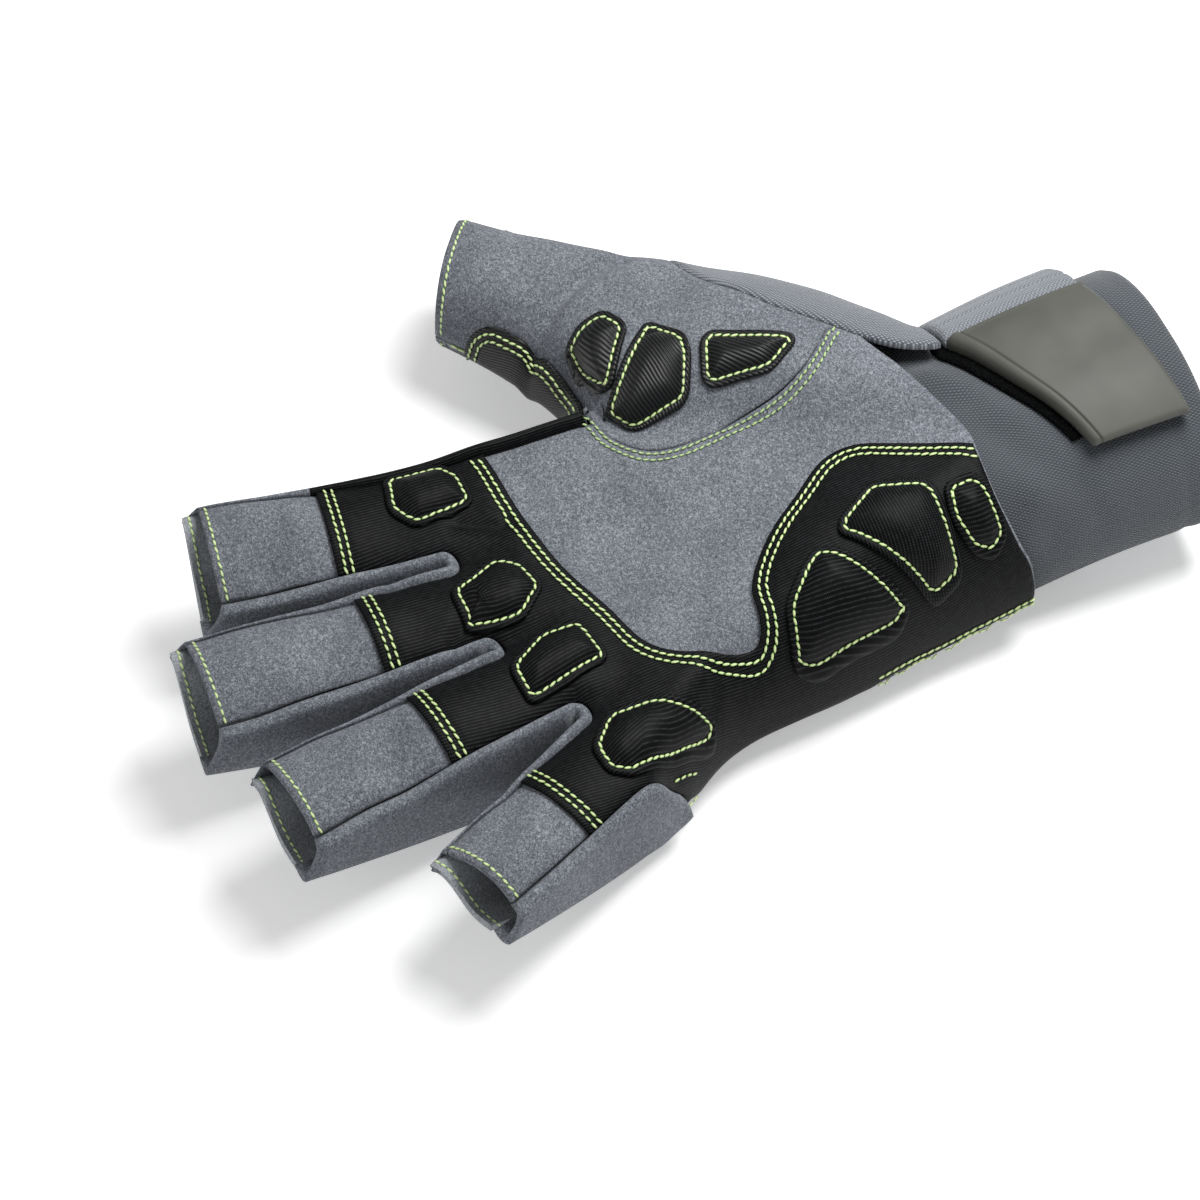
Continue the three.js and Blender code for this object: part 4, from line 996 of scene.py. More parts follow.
def pad_outline(corners, steps=130):
    line = []
    for k, corner in enumerate(corners):
        p, before, after = (np.array(c, float) for c in (corner, corners[k - 1],
                                                         corners[(k + 1) % len(corners)]))
        back_cut, on_cut = (min(PAD_CORNER, PAD_CORNER_MAX / np.linalg.norm(q - p)) for q in (before, after))
        start, end = mix(p, before, back_cut), mix(p, after, on_cut)
        line += [mix(mix(start, p, t), mix(p, end, t), t) for t in np.linspace(0, 1, 9)]
    return spread(line + [line[0]], steps)[:-1]


# %% One pad from its outline
def pad_height(away, crease):
    edge = PAD_EDGE * np.clip(0.55 + away / 0.8, 0, 1)
    puff = np.clip((away - PAD_BORDER - 0.2) / 4.2, 0, 1)
    height = edge + PAD_RISE * (1 - (1 - puff) ** 2) * 0.95
    pinch = 0.4 * np.exp(-(((away - PAD_BORDER) / 0.42) ** 2))
    return height - pinch - crease


def make_pad(name, on, rib_turn, corners):
    outline = pad_outline(corners)
    centre = outline.mean(0)
    lift = (LAP_GAP + PATCH_WALL + LAP_GAP) if on == "hand" else LAP_GAP
    cut = cut_cloth(on, [[tuple(p) for p in outline]], spacing=0.55, ring=0.3)
    flat, tris = cut
    at = skin_points(on, front_at, flat[:, 0], flat[:, 1])
    n = skin_normals(on, front_at, flat[:, 0], flat[:, 1], 1)
    away = distance_to(outline, at[:, 0], at[:, 1], closed=True)
    crease = 0.0
    if name in PAD_CREASES:
        crease = 0.9 * np.exp(-((distance_to(PAD_CREASES[name], at[:, 0], at[:, 1])
                                 / 0.8) ** 2)) * smooth(1.6, 3.2, away)
    rise = lift + pad_height(away, crease)
    a, b, c = (at[tris[:, k]] for k in range(3))
    facing = np.einsum("ij,ij->i", np.cross(b - a, c - a), n[tris[:, 0]])
    tris = np.where((facing < 0)[:, None], tris[:, ::-1], tris)
    rim = open_edges(tris)
    points = np.vstack([at + n * rise[:, None], at + n * lift])
    count = len(flat)
    faces = tris.tolist() + (tris[:, ::-1] + count).tolist()
    faces += [(b2, a2, a2 + count, b2 + count) for a2, b2 in rim]
    turn = math.radians(rib_turn)
    dx, dy = at[:, 0] - centre[0], at[:, 1] - centre[1]
    uv = np.stack([-dx * math.sin(turn) + dy * math.cos(turn), dx * math.cos(turn) + dy * math.sin(turn)], 1)
    make_mesh(name, points, faces, np.vstack([uv, uv]))
    ring = np.vstack([outline, outline[:2]])
    inset = shifted(ring, PAD_BORDER)
    if not in_polygon([tuple(p) for p in outline], inset[5:6, 0], inset[5:6, 1])[0]:
        inset = shifted(ring, -PAD_BORDER)
    add_row(name, inset[:-1], lift + PAD_EDGE - 0.25)


for pad in PADS:
    make_pad(*pad)
print("pads:", len(PADS))

# %% [markdown]
# ## Cuff, strap, tab and hooks
# All four are bands on rings round the wrist. A ring is the hand's own section, drawn in by an inset, so
# the bands lie inside and over one another with even gaps.


# %% Rings round the wrist
def wrist_at(x):
    return WRIST_Y + mix(-6.5, 7.8, np.clip((x + 33) / 61, 0, 1))


def wrist_ring(y, turn, inset):
    row = row_at(HAND, "y", y)
    half, middle = (row["inner"] - row["outer"]) / 2, (row["inner"] + row["outer"]) / 2
    x = middle + half * np.cos(turn)
    up = np.sin(turn) >= 0
    z = np.where(up, hand_front(x, y), hand_back(x, y))
    high = np.where(up, hand_front(middle, y) - row["side"], row["side"] - hand_back(middle, y))
    return (middle + (x - middle) * (half - inset) / half,
            row["side"] + (z - row["side"]) * (high - inset) / high)


def band(name, turns, stations, place, closed, uv_scale):
    """Two faces over a grid of turns and stations, joined round the rims. place gives points for a layer."""
    u, v = np.meshgrid(np.linspace(0, 1, turns + 1)[:turns + (0 if closed else 1)],
                       np.linspace(0, 1, stations + 1))
    layers = [place(u.ravel(), v.ravel(), layer) for layer in (0, 1)]
    points = np.vstack(layers)
    columns = u.shape[1]
    grid = np.arange(columns * (stations + 1)).reshape(stations + 1, columns)
    step = np.roll(grid, -1, 1) if closed else grid[:, 1:]
    base = grid if closed else grid[:, :-1]
    quads = np.stack([base[:-1], step[:-1], step[1:], base[1:]], -1).reshape(-1, 4)
    count = columns * (stations + 1)
    faces = (quads + count).tolist() + quads[:, ::-1].tolist()
    rim = [(int(a), int(b)) for a, b in zip(base[0], step[0])]
    rim += [(int(b), int(a)) for a, b in zip(base[-1], step[-1])]
    if not closed:
        rim += [(int(b), int(a)) for a, b in zip(grid[:-1, 0], grid[1:, 0])]
        rim += [(int(a), int(b)) for a, b in zip(grid[:-1, -1], grid[1:, -1])]
    faces += [(b, a, a + count, b + count) for a, b in rim]
    uv = np.stack([u.ravel() * uv_scale[0], v.ravel() * uv_scale[1]], 1)
    obj = make_mesh(name, points, faces, np.vstack([uv, uv]))
    bm = bmesh.new()
    bm.from_mesh(obj.data)
    bmesh.ops.recalc_face_normals(bm, faces=bm.faces[:])
    bm.to_mesh(obj.data)
    bm.free()
    obj["cloth_flat"] = [uv_scale[0] * MM, uv_scale[1] * MM]
    return obj


def turn_at(x):
    row = row_at(HAND, "y", STRAP_EDGE_Y)
    return float(np.arccos(np.clip((x - (row["inner"] + row["outer"]) / 2)
                                   / ((row["inner"] - row["outer"]) / 2), -1, 1)))


# %% Cuff
CUFF_TUCK = 9.0
CUFF_FOLDS = [  # from and to as plan points, half width, height
    dict(line=[(26, -62), (12, -80), (-4, -93), (-14, -118)], wide=4.0, high=1.5),
    dict(line=[(30, -70), (18, -84), (6, -100)], wide=3.0, high=-1.1),
    dict(line=[(-2, -78), (-16, -88), (-24, -100)], wide=3.5, high=-0.9),
    dict(line=[(-18, -84), (-22, -104)], wide=4.0, high=0.8),
    dict(line=[(8, -108), (-6, -120)], wide=3.5, high=-0.8),
]


def cuff_place(u, v, layer):
    turn = -u * 2 * np.pi
    side, _ = wrist_ring(np.full(len(u), WRIST_Y), turn, 0)
    y = mix(wrist_at(side) + CUFF_LAP + CUFF_TUCK, CUFF_END_Y, v)
    hem = 0.35 * np.exp(-(((v - 0.88) / 0.02) ** 2)) * layer
    edge = 0.5 * smooth(0.985, 1.0, v) * layer
    bare = smooth(6, 16, wrist_at(side) + CUFF_LAP - y) * smooth(0, 0.4, np.sin(turn))
    slant = TAB_SLANT * np.maximum(0, TAB_START_X - side)
    bare = bare * (1 - smooth(16, 24, side)) * smooth(2, 7, y - STRAP_EDGE_Y + slant)
    bulge = sum(fold["high"]
                * np.exp(-((distance_to(fold["line"], side, y) / fold["wide"]) ** 2)) for fold in CUFF_FOLDS)
    hip = 3.8 * smooth(20, 29, side) * smooth(-81.2, -78.5, y) * (1 - smooth(-70, -60, y))
    inset = CUFF_INSET + (1 - layer) * CUFF_WALL + hem + edge - bulge * bare - hip
    inset = inset - unevenness(side * 1.3, y) * 1.5 * bare
    x, z = wrist_ring(y, turn, inset)
    return np.stack([x, y, z], 1)


band("cuff", 150, 60, cuff_place, True, (190.0, 50.0))

# %% Strap, tab and hook band
STRAP_LOW = CUFF_INSET - LAP_GAP - HOOK_WALL - LAP_GAP
TAB_TURN, TAB_END = turn_at(TAB_START_X), turn_at(TAB_END_X)


def soft_rim(share, length, reach):
    """1 inside, falling to 0 at both ends of a length."""
    away = np.minimum(share, 1 - share) * length
    return np.sqrt(np.clip(1 - (1 - np.clip(away / reach, 0, 1)) ** 2, 0, 1))


def strap_place(from_turn, to_turn, low, wall, ahead, wide, long, relief):
    def place(u, v, layer):
        turn = mix(from_turn, to_turn, u)
        x, _ = wrist_ring(np.full(len(u), STRAP_EDGE_Y), turn, 0)
        spread_out = 0.6 * TAB_SLANT * np.maximum(0, TAB_START_X - x)
        y = STRAP_EDGE_Y - TAB_SLANT * np.maximum(0, TAB_START_X - x) + ahead - (wide - spread_out) * v
        body = wall * (0.45 + 0.55 * soft_rim(u, long, wall * 0.6) * soft_rim(v, wide, wall * 0.6))
        x, z = wrist_ring(y, turn, np.where(layer == 1, low - body - relief(u * long, v * wide), low))
        return np.stack([x, y, z], 1)
    return place


def strap_relief(along, across):
    z = np.zeros(np.shape(across))
    for at, deep in ((1.4, 0.55), (5.2, 0.7), (9.4, 0.25)):
        z = z - deep * np.exp(-(((along - at) / 0.45) ** 2))
    return z


def no_relief(along, across):
    return 0 * along


def tab_relief(along, across):
    rim = 0.45 * (1 - smooth(1.9, 2.3, across))
    return rim - 0.5 * np.exp(-(((across - 2.4) / 0.3) ** 2)) + 0.3 * (1 - smooth(1.0, 1.6, 38 - along))


STRAP_LONG, TAB_LONG = 96.0, 38.0
band("wrist_strap", 260, 60,
     strap_place(TAB_TURN - 0.01, -2.35, STRAP_LOW, STRAP_WALL, 0, STRAP_WIDE, STRAP_LONG, strap_relief),
     False, (STRAP_LONG, STRAP_WIDE))
band("pull_tab", 110, 110,
     strap_place(TAB_END, TAB_TURN + 0.01, STRAP_LOW, TAB_WALL, 0, STRAP_WIDE, TAB_LONG, tab_relief),
     False, (TAB_LONG, STRAP_WIDE))
band("hook_band", 120, 60,
     strap_place(TAB_END - 0.08, 0.35, CUFF_INSET - LAP_GAP, HOOK_WALL, 2, STRAP_WIDE - 1, 50.0, no_relief),
     False, (50.0, STRAP_WIDE - 1))
print("bands made")

# %% [markdown]
# ## Thread
# A lock stitch shows as a row of short, slightly tilted grains of thread, each with a pinched end, darkened
# by painted
# shade where it dives into the cloth. One small Geometry Nodes tree lays such a grain on every step of a row:
# it turns the row into a curve, resamples it by the stitch pitch and places a stretched ball that points
# along the row and faces up out of the cloth.


# %% Rows on the finger and thumb openings
def hem_line(f, lip, away=1.3):
    far, near = (1 + (lip * (FAR_LIP if side > 0 else 1) - away) / f["length"] for side in (1, -1))
    ends = [finger_point(f, share, side, ROLL * roll_share(1, side) + 0.7)
            for share, side in ((far, 1), (near, -1))]
    return spread(ends, 30)


hem_rows = []  # plane, line in plan, skin, lift, outward sign, on the inside or not
for f in FINGERS:
    hem_rows.append(("hand", hem_line(f, 0), front_at, 0.0, 1, False))
    hem_rows.append(("hand", hem_line(f, HEM_LIP), back_at, -KNIT_WALL, -1, True))
    hem_rows.append(("hand", hem_line(f, HEM_LIP), back_at, 0.0, -1, False))
thumb_shares = np.linspace(-0.99, 0.99, 40)
for skin, sign in ((front_at, 1), (back_at, -1)):
    along = THUMB_OPENING + THUMB_SLANT * thumb_shares * 15 - 1.5
    middle, half = thumb_span(along)
    hem_rows.append(("thumb", np.stack(thumb_point(along, middle + half * thumb_shares), 1), skin, 0.0,
                     sign, False))


# %% Points and up directions of all rows
def place_row(line, plane_name, skin, lift, sign, flip=False):
    """Points of an unrolled row on a skin and the direction out of the cloth at each one."""
    at = skin_points(plane_name, skin, line[:, 0], line[:, 1])
    n = skin_normals(plane_name, skin, line[:, 0], line[:, 1], sign)
    return at + n * lift, -n if flip else n


thread_rows = {"stitches_panels": [], "stitches_pads": [], "stitches_hems": [], "stitches_thumb_seam": []}
for owner, line, lift, kind in rows:
    group = ("stitches_pads" if "pad" in owner
             else "stitches_thumb_seam" if kind == "moss" else "stitches_panels")
    thread_rows[group].append(place_row(line, plane_of(owner), front_at, lift + 0.02, 1))
for plane_name, line, skin, lift, sign, flip in hem_rows:
    line = resample(line, 0.5)
    line = np.stack(PLANES[plane_name]["unroll"](line[:, 0], line[:, 1]), 1)
    thread_rows["stitches_hems"].append(place_row(line, plane_name, skin, lift, sign, flip))


# %% The stitch tree
def stitch_tree():
    tree = bpy.data.node_groups.new("stitch_row", "GeometryNodeTree")
    for name, kind in (("Rows", "NodeSocketGeometry"), ("Pitch", "NodeSocketFloat"),
                       ("Length", "NodeSocketFloat"),
                       ("Width", "NodeSocketFloat"), ("Seed", "NodeSocketInt"),
                       ("Thread", "NodeSocketMaterial")):
        tree.interface.new_socket(name, in_out="INPUT", socket_type=kind)
    tree.interface.new_socket("Stitches", in_out="OUTPUT", socket_type="NodeSocketGeometry")

    def add(kind, inputs=(), **settings):
        node = tree.nodes.new(kind)
        for key, value in settings.items():
            setattr(node, key, value)
        for key, value in dict(inputs).items():
            if isinstance(value, bpy.types.NodeSocket):
                tree.links.new(value, node.inputs[key])
            else:
                node.inputs[key].default_value = value
        return node

    given = add("NodeGroupInput").outputs
    line = add("GeometryNodeMeshToCurve", {"Mesh": given["Rows"]})
    even = add("GeometryNodeResampleCurve", {"Curve": line.outputs[0], "Length": given["Pitch"]},
               mode="LENGTH")
    up = add("GeometryNodeInputNamedAttribute", {"Name": "up"}, data_type="FLOAT_VECTOR")
    tangent = add("GeometryNodeInputTangent")
    first = add("FunctionNodeAlignRotationToVector", {"Vector": tangent.outputs[0]}, axis="X")
    facing = add("FunctionNodeAlignRotationToVector",
                 {"Rotation": first.outputs[0], "Vector": up.outputs[0]}, axis="Z", pivot_axis="X")
    tilt = add("FunctionNodeRandomValue", {2: 0.02, 3: 0.3, "Seed": given["Seed"]}, data_type="FLOAT")
    tilt_z = add("ShaderNodeCombineXYZ", {"Z": tilt.outputs[1]})
    turn = add("FunctionNodeEulerToRotation", {0: tilt_z.outputs[0]})
    turned = add("FunctionNodeRotateRotation",
                 {"Rotation": facing.outputs[0], "Rotate By": turn.outputs[0]}, rotation_space="LOCAL")
    ball = add("GeometryNodeMeshUVSphere", {"Segments": 8, "Rings": 7, "Radius": 0.5})
    # Each grain keeps the place of its points, from which the thread finish paints shade at the ends and a
    # highlight on the crown.
    spot = add("GeometryNodeInputPosition")
    marked = add("GeometryNodeStoreNamedAttribute",
                 {"Geometry": ball.outputs[0], "Name": "grain", "Value": spot.outputs[0]},
                 data_type="FLOAT_VECTOR", domain="POINT")
    vary = add("FunctionNodeRandomValue", {2: 0.88, 3: 1.08, "Seed": given["Seed"]}, data_type="FLOAT")
    long = add("ShaderNodeMath", {0: given["Length"], 1: vary.outputs[1]}, operation="MULTIPLY")
    thick = add("ShaderNodeMath", {0: given["Width"], 1: 0.8}, operation="MULTIPLY")
    size = add("ShaderNodeCombineXYZ", {"X": long.outputs[0], "Y": given["Width"], "Z": thick.outputs[0]})
    laid = add("GeometryNodeInstanceOnPoints", {"Points": even.outputs[0], "Instance": marked.outputs[0],
                                                "Rotation": turned.outputs[0], "Scale": size.outputs[0]})
    real = add("GeometryNodeRealizeInstances", {"Geometry": laid.outputs[0]})
    smooth_node = add("GeometryNodeSetShadeSmooth", {"Geometry": real.outputs[0]})
    painted = add("GeometryNodeSetMaterial",
                  {"Geometry": smooth_node.outputs[0], "Material": given["Thread"]})
    tree.links.new(painted.outputs[0], add("NodeGroupOutput").inputs[0])
    return tree


STITCHES = stitch_tree()


# %% [markdown]
# ## Finishes
# Each material is a small node network. Colours are sRGB hex values, turned to linear by one function,
# and every pattern's scale comes from a real size: suede nap, weave rows, ribs and thread twist.


# %% Colour and node helpers
def colour(hex_value):
    channels = []
    for k in (0, 2, 4):
        v = int(hex_value[k:k + 2], 16) / 255
        channels.append(v / 12.92 if v <= 0.04045 else ((v + 0.055) / 1.055) ** 2.4)
    return (*channels, 1.0)


def per_metre(size_mm):
    """Noise scale for a feature of this size."""
    return 1.0 / (size_mm * MM)


class Finish:
    """A principled material and one way to add a node to it."""

    def __init__(self, name, roughness=0.9, sheen=0.0, sheen_roughness=0.4, specular=0.4):
        self.material = bpy.data.materials.new(name)
        self.material.use_nodes = True
        self.tree = self.material.node_tree
        self.shader = self.tree.nodes["Principled BSDF"]
        self.shader.inputs["Roughness"].default_value = roughness
        self.shader.inputs["Sheen Weight"].default_value = sheen
        self.shader.inputs["Sheen Roughness"].default_value = sheen_roughness
        self.shader.inputs["Specular IOR Level"].default_value = specular

    def add(self, kind, inputs=(), **settings):
        node = self.tree.nodes.new(kind)
        for key, value in settings.items():
            setattr(node, key, value)
        for key, value in dict(inputs).items():
            if isinstance(value, bpy.types.NodeSocket):
                self.tree.links.new(value, node.inputs[key])
            else:
                node.inputs[key].default_value = value
        return node.outputs

    def link(self, output, socket):
        self.tree.links.new(output, self.shader.inputs[socket])

    def noise(self, coordinates, size_mm, detail=2.0, roughness=0.5):
        return self.add("ShaderNodeTexNoise",
                        {"Vector": coordinates, "Scale": per_metre(size_mm), "Detail": detail,
                                               "Roughness": roughness})[0]

    def ramp(self, value, stops):
        out = self.add("ShaderNodeValToRGB", {"Fac": value})
        ramp = out[0].node.color_ramp
        while len(ramp.elements) < len(stops):
            ramp.elements.new(0.5)
        for element, (at, hex_value) in zip(ramp.elements, stops):
            element.position = at
            element.color = colour(hex_value)
        return out[0]

    def bump(self, height, distance_mm, strength=1.0, below=None):
        inputs = {"Height": height, "Distance": distance_mm * MM, "Strength": strength}
        if below is not None:
            inputs["Normal"] = below
        return self.add("ShaderNodeBump", inputs)[0]

    def math(self, operation, a, b=0.0):
        return self.add("ShaderNodeMath", {0: a, 1: b}, operation=operation)[0]

    def wave(self, position, pitch_mm):
        """0 to 1 and back once in every pitch."""
        turns = self.math("MULTIPLY", position, 2 * math.pi / (pitch_mm * MM))
        return self.math("ADD", self.math("MULTIPLY", self.math("SINE", turns), 0.5), 0.5)


# %% Suede
# Synthetic suede, brushed: a short nap that catches light in specks, and faint wide patches where it
# lies down.
def suede_finish(name, dark, middle, light, grain=0.3):
    f = Finish(name, roughness=0.95, sheen=0.08, sheen_roughness=0.6, specular=0.12)
    place = f.add("ShaderNodeTexCoord")["Object"]
    fine = f.noise(place, grain, 2.0, 0.6)
    coarse = f.noise(place, grain * 2.4, 1.0, 0.5)
    blotch = f.noise(place, 14.0, 2.0, 0.5)
    grains = f.add("ShaderNodeMix", {0: 0.28, 2: fine, 3: coarse}, data_type="FLOAT")[0]
    speck = f.add("ShaderNodeMix", {0: 0.12, 2: grains, 3: blotch}, data_type="FLOAT")[0]
    f.link(f.ramp(speck, [(0.35, dark), (0.5, middle), (0.65, light)]), "Base Color")
    f.link(f.bump(grains, 0.3, 0.6), "Normal")
    return f.material


suede = suede_finish("brushed_suede", "43474d", "676b72", "979ba2")
# The lining is the suede made lighter: painted light on the inside of the glove, seen through the openings.
painted_light_lining = suede_finish("suede_lining_painted_light", "6b6f74", "8b8f94", "b2b6bb", grain=0.24)


# %% Ribbed and woven black cloth
# Grosgrain over the thumb pads and web: ribs of filament yarn half a millimetre apart, with a painted sheen,
# a lighter colour, on their crowns.
def ribbed_finish(name, pitch, dark, light, depth, gloss):
    f = Finish(name, roughness=gloss, specular=0.3)
    where = f.add("ShaderNodeUVMap", uv_map="cloth")[0]
    parts = f.add("ShaderNodeSeparateXYZ", {0: where})
    wander = f.noise(f.add("ShaderNodeTexCoord")["Object"], 7.0, 1.0)
    across = f.math("ADD", parts[0], f.math("MULTIPLY", wander, pitch * MM))
    rib = f.wave(across, pitch)
    # The lighter colour on each rib's crown is painted sheen; the rest of the rib is the cloth's black.
    f.link(f.ramp(rib, [(0.3, dark), (0.75, dark), (1.0, light)]), "Base Color")
    f.link(f.bump(rib, depth, 0.8), "Normal")
    return f.material


# The light colour is the painted sheen on the rib crowns.
grosgrain = ribbed_finish("black_grosgrain", 0.62, "08090a", "2c2d2e", 0.16, 0.42)


# Woven nylon of the big patch and the palm pads: satin black, with rows of tiny light dots where single
# filaments float, 0.58 mm from row to row and 0.3 mm along the row.
def dotted_finish(name, row, dot, dark, light):
    f = Finish(name, roughness=0.55, specular=0.09)
    where = f.add("ShaderNodeUVMap", uv_map="cloth")[0]
    parts = f.add("ShaderNodeSeparateXYZ", {0: where})
    place = f.add("ShaderNodeTexCoord")["Object"]
    wander = f.math("MULTIPLY", f.noise(place, 9.0, 1.0), row * MM)
    lines = f.wave(f.math("ADD", parts[0], wander), row)
    beads = f.wave(parts[1], dot)
    worn = f.noise(place, 1.1, 2.0, 0.6)
    dots = f.math("MULTIPLY", f.math("POWER", lines, 2.5), f.math("ADD", f.math("MULTIPLY", beads, 0.7), 0.3))
    dots = f.math("MULTIPLY", dots, f.math("MULTIPLY", worn, 1.7))
    f.link(f.ramp(dots, [(0.15, dark), (0.85, light)]), "Base Color")
    f.link(f.bump(lines, 0.04, 0.5), "Normal")
    return f.material


woven = dotted_finish("black_woven_nylon", 0.58, 0.32, "060707", "333436")
# Loop edge tape and hooks: matt black fuzz with stray light fibres.
fuzz_finish = Finish("black_brushed_loop", roughness=1.0, specular=0.05)
fuzz_at = fuzz_finish.add("ShaderNodeTexCoord")["Object"]
fuzz = fuzz_finish.noise(fuzz_at, 0.35, 3.0, 0.7)
fuzz_finish.link(fuzz_finish.ramp(fuzz, [(0.4, "060607"), (0.62, "101112"), (0.78, "3a3b3c")]), "Base Color")
fuzz_finish.link(fuzz_finish.bump(fuzz, 0.6, 0.9), "Normal")
brushed_loop = fuzz_finish.material


# %% Knit
# Fine warp knit: small slanted loops, half a millimetre, grey with darker pits between them.
def knit_finish(name, pitch, dark, light, depth):
    f = Finish(name, roughness=0.85, sheen=0.25, sheen_roughness=0.5, specular=0.2)
    where = f.add("ShaderNodeUVMap", uv_map="cloth")[0]
    parts = f.add("ShaderNodeSeparateXYZ", {0: where})
    plus = f.math("ADD", parts[0], parts[1])
    minus = f.math("SUBTRACT", parts[0], f.math("MULTIPLY", parts[1], 0.6))
    loops = f.math("MULTIPLY", f.wave(plus, pitch), f.wave(minus, pitch))
    place = f.add("ShaderNodeTexCoord")["Object"]
    hair = f.noise(place, 0.3, 2.0)
    mixed = f.add("ShaderNodeMix", {0: 0.3, 2: loops, 3: hair}, data_type="FLOAT")[0]
    f.link(f.ramp(mixed, [(0.08, dark), (0.55, light)]), "Base Color")
    f.link(f.bump(loops, depth, 0.8), "Normal")
    return f.material


mesh_knit = knit_finish("grey_warp_knit", 0.85, "484c52", "969ba2", 0.3)
smooth_knit = knit_finish("grey_jersey", 0.6, "565a60", "92979d", 0.12)
cuff_knit = knit_finish("cuff_jersey", 0.75, "34383d", "5f6469", 0.2)

# %% Rubber and thread
# Moulded soft rubber, olive grey, satin, with the faint grain of its mould.
rubber_finish = Finish("olive_moulded_rubber", roughness=0.55, specular=0.28)
rubber_at = rubber_finish.add("ShaderNodeTexCoord")["Object"]
rubber_grain = rubber_finish.noise(rubber_at, 0.25, 2.0)
rubber_cloud = rubber_finish.noise(rubber_at, 9.0, 1.0)
rubber_finish.link(rubber_finish.ramp(rubber_cloud, [(0.3, "4b4c47"), (0.7, "555650")]), "Base Color")
rubber_finish.link(rubber_finish.bump(rubber_grain, 0.03, 0.4), "Normal")
rubber = rubber_finish.material


# Polyester thread, lime: a painted highlight on the crown of each stitch, painted shade in dark green where
# it dives into the cloth.
def thread_finish(name, ends, body, crown):
    f = Finish(name, roughness=0.45, sheen=0.1, specular=0.45)
    grain = f.add("ShaderNodeAttribute", attribute_name="grain")["Vector"]
    parts = f.add("ShaderNodeSeparateXYZ", {0: grain})
    away = f.math("MULTIPLY", f.math("ABSOLUTE", parts[0]), 2.0)
    strand = f.math("ADD", parts[0], f.math("MULTIPLY", parts[1], 0.8))
    twist = f.math("SINE", f.math("MULTIPLY", strand, 30.0))
    shade = f.math("SUBTRACT", 1.0, f.math("POWER", away, 3.0))
    shade = f.math("ADD", f.math("MULTIPLY", shade, 0.9), f.math("MULTIPLY", twist, 0.08))
    # The first stop is painted shade at the stitch ends, the last a painted highlight on its crown; the
    # middle stop is the thread's own colour.
    f.link(f.ramp(shade, [(0.05, ends), (0.5, body), (0.88, crown)]), "Base Color")
    f.link(f.bump(twist, 0.05, 0.4), "Normal")
    return f.material


# Each thread: painted shade at the ends, the thread's colour, painted highlight on the crown.
lime_thread = thread_finish("lime_polyester_thread", "1f5a1c", "8fbf5c", "dcecae")
moss_thread = thread_finish("moss_polyester_thread", "2c4f2a", "7ba05c", "b7d08e")

# %% Materials on the pieces
finishes = {
    suede: ("palm_panel", "thumb_panel", "fourchette_index_middle", "fourchette_middle_ring",
            "fourchette_ring_pinky", "pinky_side_strip"),
    cuff_knit: ("back_panel", "thumb_back", "cuff"),
    woven: ("palm_patch", "index_side_panel", "pad_index", "pad_middle", "pad_ring", "pad_pinky",
            "heel_pad_outer",
            "heel_pad_middle", "heel_pad_wrist"),
    grosgrain: ("web_patch", "thenar_pad_upper", "thenar_pad_middle", "thenar_pad_wrist"),
    mesh_knit: ("knit_side_panel",),
    smooth_knit: ("wrist_strap",),
    rubber: ("pull_tab",),
    brushed_loop: ("hook_band",),
}
for material, names in finishes.items():
    for name in names:
        pieces[name].data.materials.append(material)



# %% Second material on a piece
def paint(name, material, chosen):
    """Gives another material to the faces for which the test holds on their centre and normal, in mm."""
    mesh = pieces[name].data
    mesh.materials.append(material)
    slot = len(mesh.materials) - 1
    for face in mesh.polygons:
        centre = np.array(face.center) / MM - np.array(SHIFT)
        if chosen(centre, face.normal):
            face.material_index = slot


# The back is lined with the palm's suede in a lighter colour, painted light inside the openings. The index
# finger's black side strip gives way to suede at its tip.
paint("back_panel", painted_light_lining, lambda c, n: n.z > 0.05)
paint("thumb_back", painted_light_lining, lambda c, n: n.z > 0.05)
index = FINGERS[0]
paint("index_side_panel", suede, lambda c, n: finger_place(index, c[0], c[1])[0] > index["tongue"] + 0.02)

# %% [markdown]
# ## Sewing
# The rows become thread. Each group of rows is one mesh of open lines with its up directions; the tree
# turns it into stitches, the result is kept as a plain mesh and the tree's modifier goes.

# %% Stitch all rows
THREAD_SIZES = {  # pitch, length and width of a stitch in mm, and its thread
    "stitches_panels": (1.56, 1.72, 0.52, lime_thread),
    "stitches_pads": (1.56, 1.74, 0.55, lime_thread),
    "stitches_hems": (1.56, 1.66, 0.48, lime_thread),
    "stitches_thumb_seam": (1.4, 1.45, 0.44, moss_thread),
}


def sew(name, placed):
    pitch, length, width, thread = THREAD_SIZES[name]
    verts, edges, ups = [], [], []
    for points, up in placed:
        base = len(verts)
        verts += ((points + np.array(SHIFT)) * MM).tolist()
        ups += up.tolist()
        edges += [(base + k, base + k + 1) for k in range(len(points) - 1)]
    mesh = bpy.data.meshes.new(name + "_rows")
    mesh.from_pydata(verts, edges, [])
    mesh.attributes.new("up", "FLOAT_VECTOR", "POINT").data.foreach_set("vector", np.array(ups).ravel())
    obj = bpy.data.objects.new(name, mesh)
    bpy.context.scene.collection.objects.link(obj)
    modifier = obj.modifiers.new("stitches", "NODES")
    modifier.node_group = STITCHES
    values = {"Pitch": pitch * MM, "Length": length * MM, "Width": width * MM, "Seed": 7, "Thread": thread}
    for item in STITCHES.interface.items_tree:
        if item.item_type == "SOCKET" and item.in_out == "INPUT" and item.name in values:
            modifier[item.identifier] = values[item.name]
    graph = bpy.context.evaluated_depsgraph_get()
    plain = bpy.data.meshes.new_from_object(obj.evaluated_get(graph))
    obj.modifiers.remove(modifier)
    obj.data = plain
    plain.name = name
    pieces[name] = obj
    print(f"{name}: {len(plain.polygons)} faces")
    return obj


for name, placed in thread_rows.items():
    sew(name, placed)
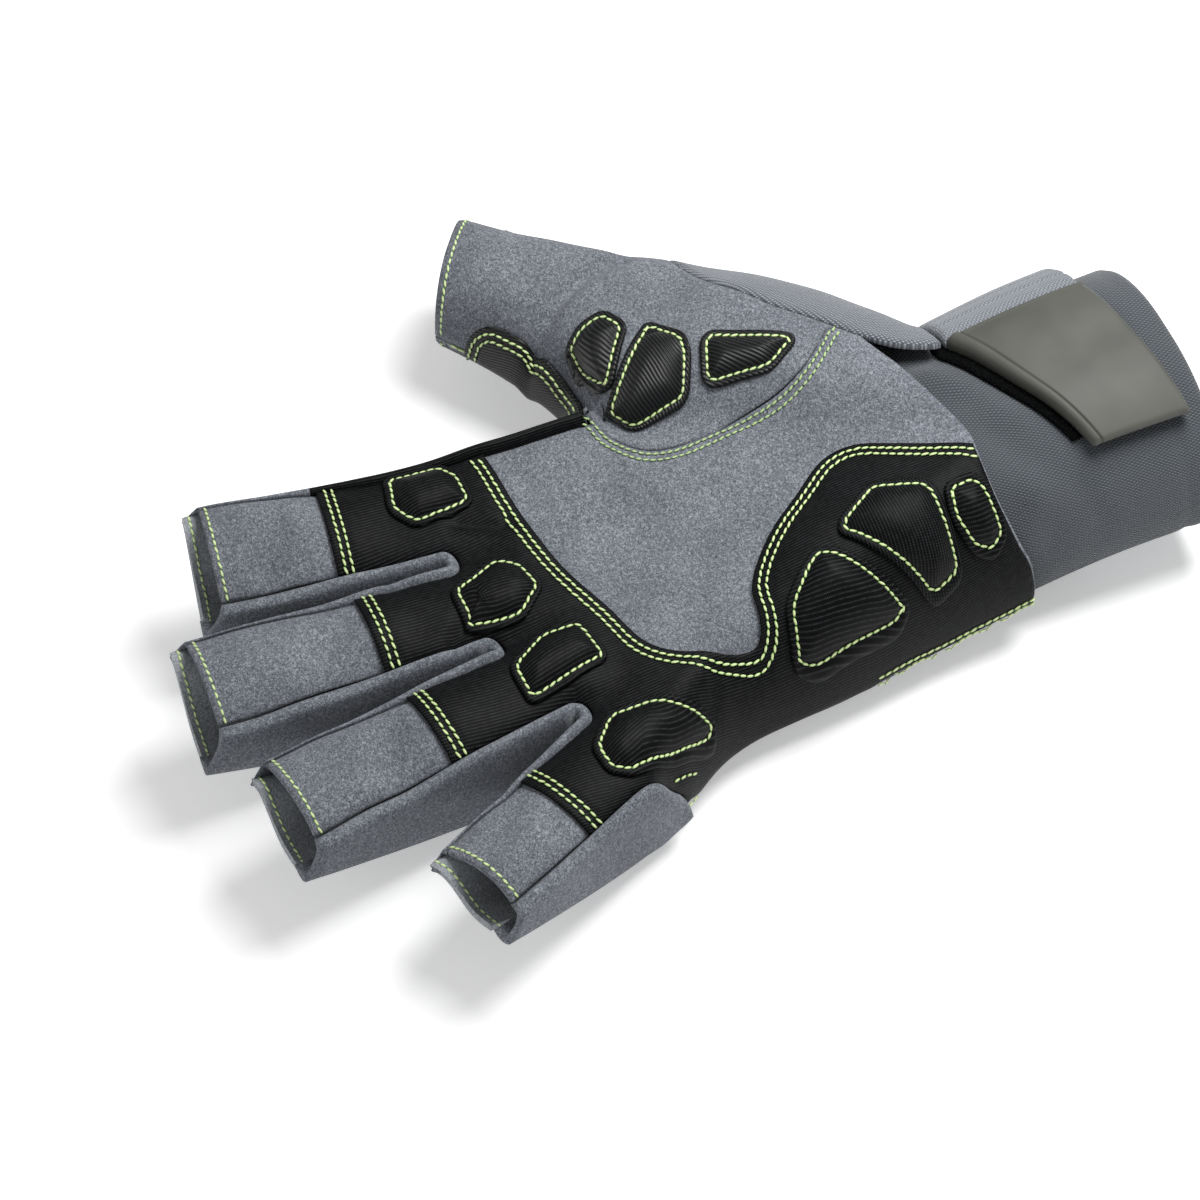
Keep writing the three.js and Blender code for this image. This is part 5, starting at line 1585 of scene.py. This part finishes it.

# %% [markdown]
# ## What stands for what
# Each piece rides on the glove's only body and takes the place of its plain solid. The cloth pieces already
# carry the size of their flat cut.

LAYERS = {
    "palm_panel": "back_panel", "thumb_panel": "thumb_back", "palm_patch": "palm_panel",
    "web_patch": "thumb_panel",
    "thumb_back": "back_panel", "knit_side_panel": "thumb_back", "cuff": "palm_panel", "wrist_strap": "cuff",
    "hook_band": "cuff", "back_panel": "palm_panel", "fourchette_index_middle": "palm_panel",
    "fourchette_middle_ring": "palm_panel", "fourchette_ring_pinky": "palm_panel",
    "pinky_side_strip": "palm_panel",
    "index_side_panel": "palm_panel",
}
for name, obj in pieces.items():
    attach(obj, "root")
    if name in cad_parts:
        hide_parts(name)
for name, below in LAYERS.items():
    obj = pieces[name]

# %% [markdown]
# ## Floor, light and camera
# The photograph shows the glove on white, lit softly from above and from beyond the thumb, so that a
# pale shadow falls towards the viewer. The camera stands at the same angle and distance.

# %% Floor
bpy.ops.mesh.primitive_plane_add(size=6.0, location=(0, 0, -0.0002))
floor = bpy.context.object
floor.name = "floor"
floor_finish = Finish("white_paper", roughness=0.9, specular=0.1)
floor_finish.shader.inputs["Base Color"].default_value = (0.92, 0.92, 0.92, 1)
floor_finish.shader.inputs["Emission Color"].default_value = (1, 1, 1, 1)
floor_finish.shader.inputs["Emission Strength"].default_value = 0.34
floor.data.materials.append(floor_finish.material)


# %% Lights
def area_light(name, place, size, power, target=(0, 0, 0.01)):
    data = bpy.data.lights.new(name, "AREA")
    data.shape = "DISK"
    data.size = size
    data.energy = power
    obj = bpy.data.objects.new(name, data)
    obj.location = place
    obj.rotation_euler = (Vector(target) - Vector(place)).to_track_quat("-Z", "Y").to_euler()
    bpy.context.scene.collection.objects.link(obj)
    return obj


area_light("key", (0.02, -0.14, 0.36), 0.22, 1.72)
area_light("fill", (-0.25, 0.75, 0.5), 0.8, 1.6)
world = bpy.data.worlds.new("studio")
world.use_nodes = True
world.node_tree.nodes["Background"].inputs["Color"].default_value = (1, 1, 1, 1)
world.node_tree.nodes["Background"].inputs["Strength"].default_value = 0.27
bpy.context.scene.world = world
bpy.context.scene.view_settings.view_transform = "Standard"

# %% Camera
AZIMUTH, ELEVATION, DISTANCE = math.radians(248.0), math.radians(55.0), 0.7
TARGET = Vector(((0 + SHIFT[0]) * MM, (0 + SHIFT[1]) * MM, 20 * MM))
back_way = Vector((math.sin(AZIMUTH) * math.cos(ELEVATION), -math.cos(AZIMUTH) * math.cos(ELEVATION),
                   math.sin(ELEVATION)))
camera_data = bpy.data.cameras.new("camera")
camera_data.sensor_width = 36
camera_data.lens = 109.2
camera_data.clip_start = 0.01
camera = bpy.data.objects.new("camera", camera_data)
camera.location = TARGET + back_way * DISTANCE
camera.rotation_euler = back_way.to_track_quat("Z", "Y").to_euler()
bpy.context.scene.collection.objects.link(camera)
bpy.context.scene.camera = camera
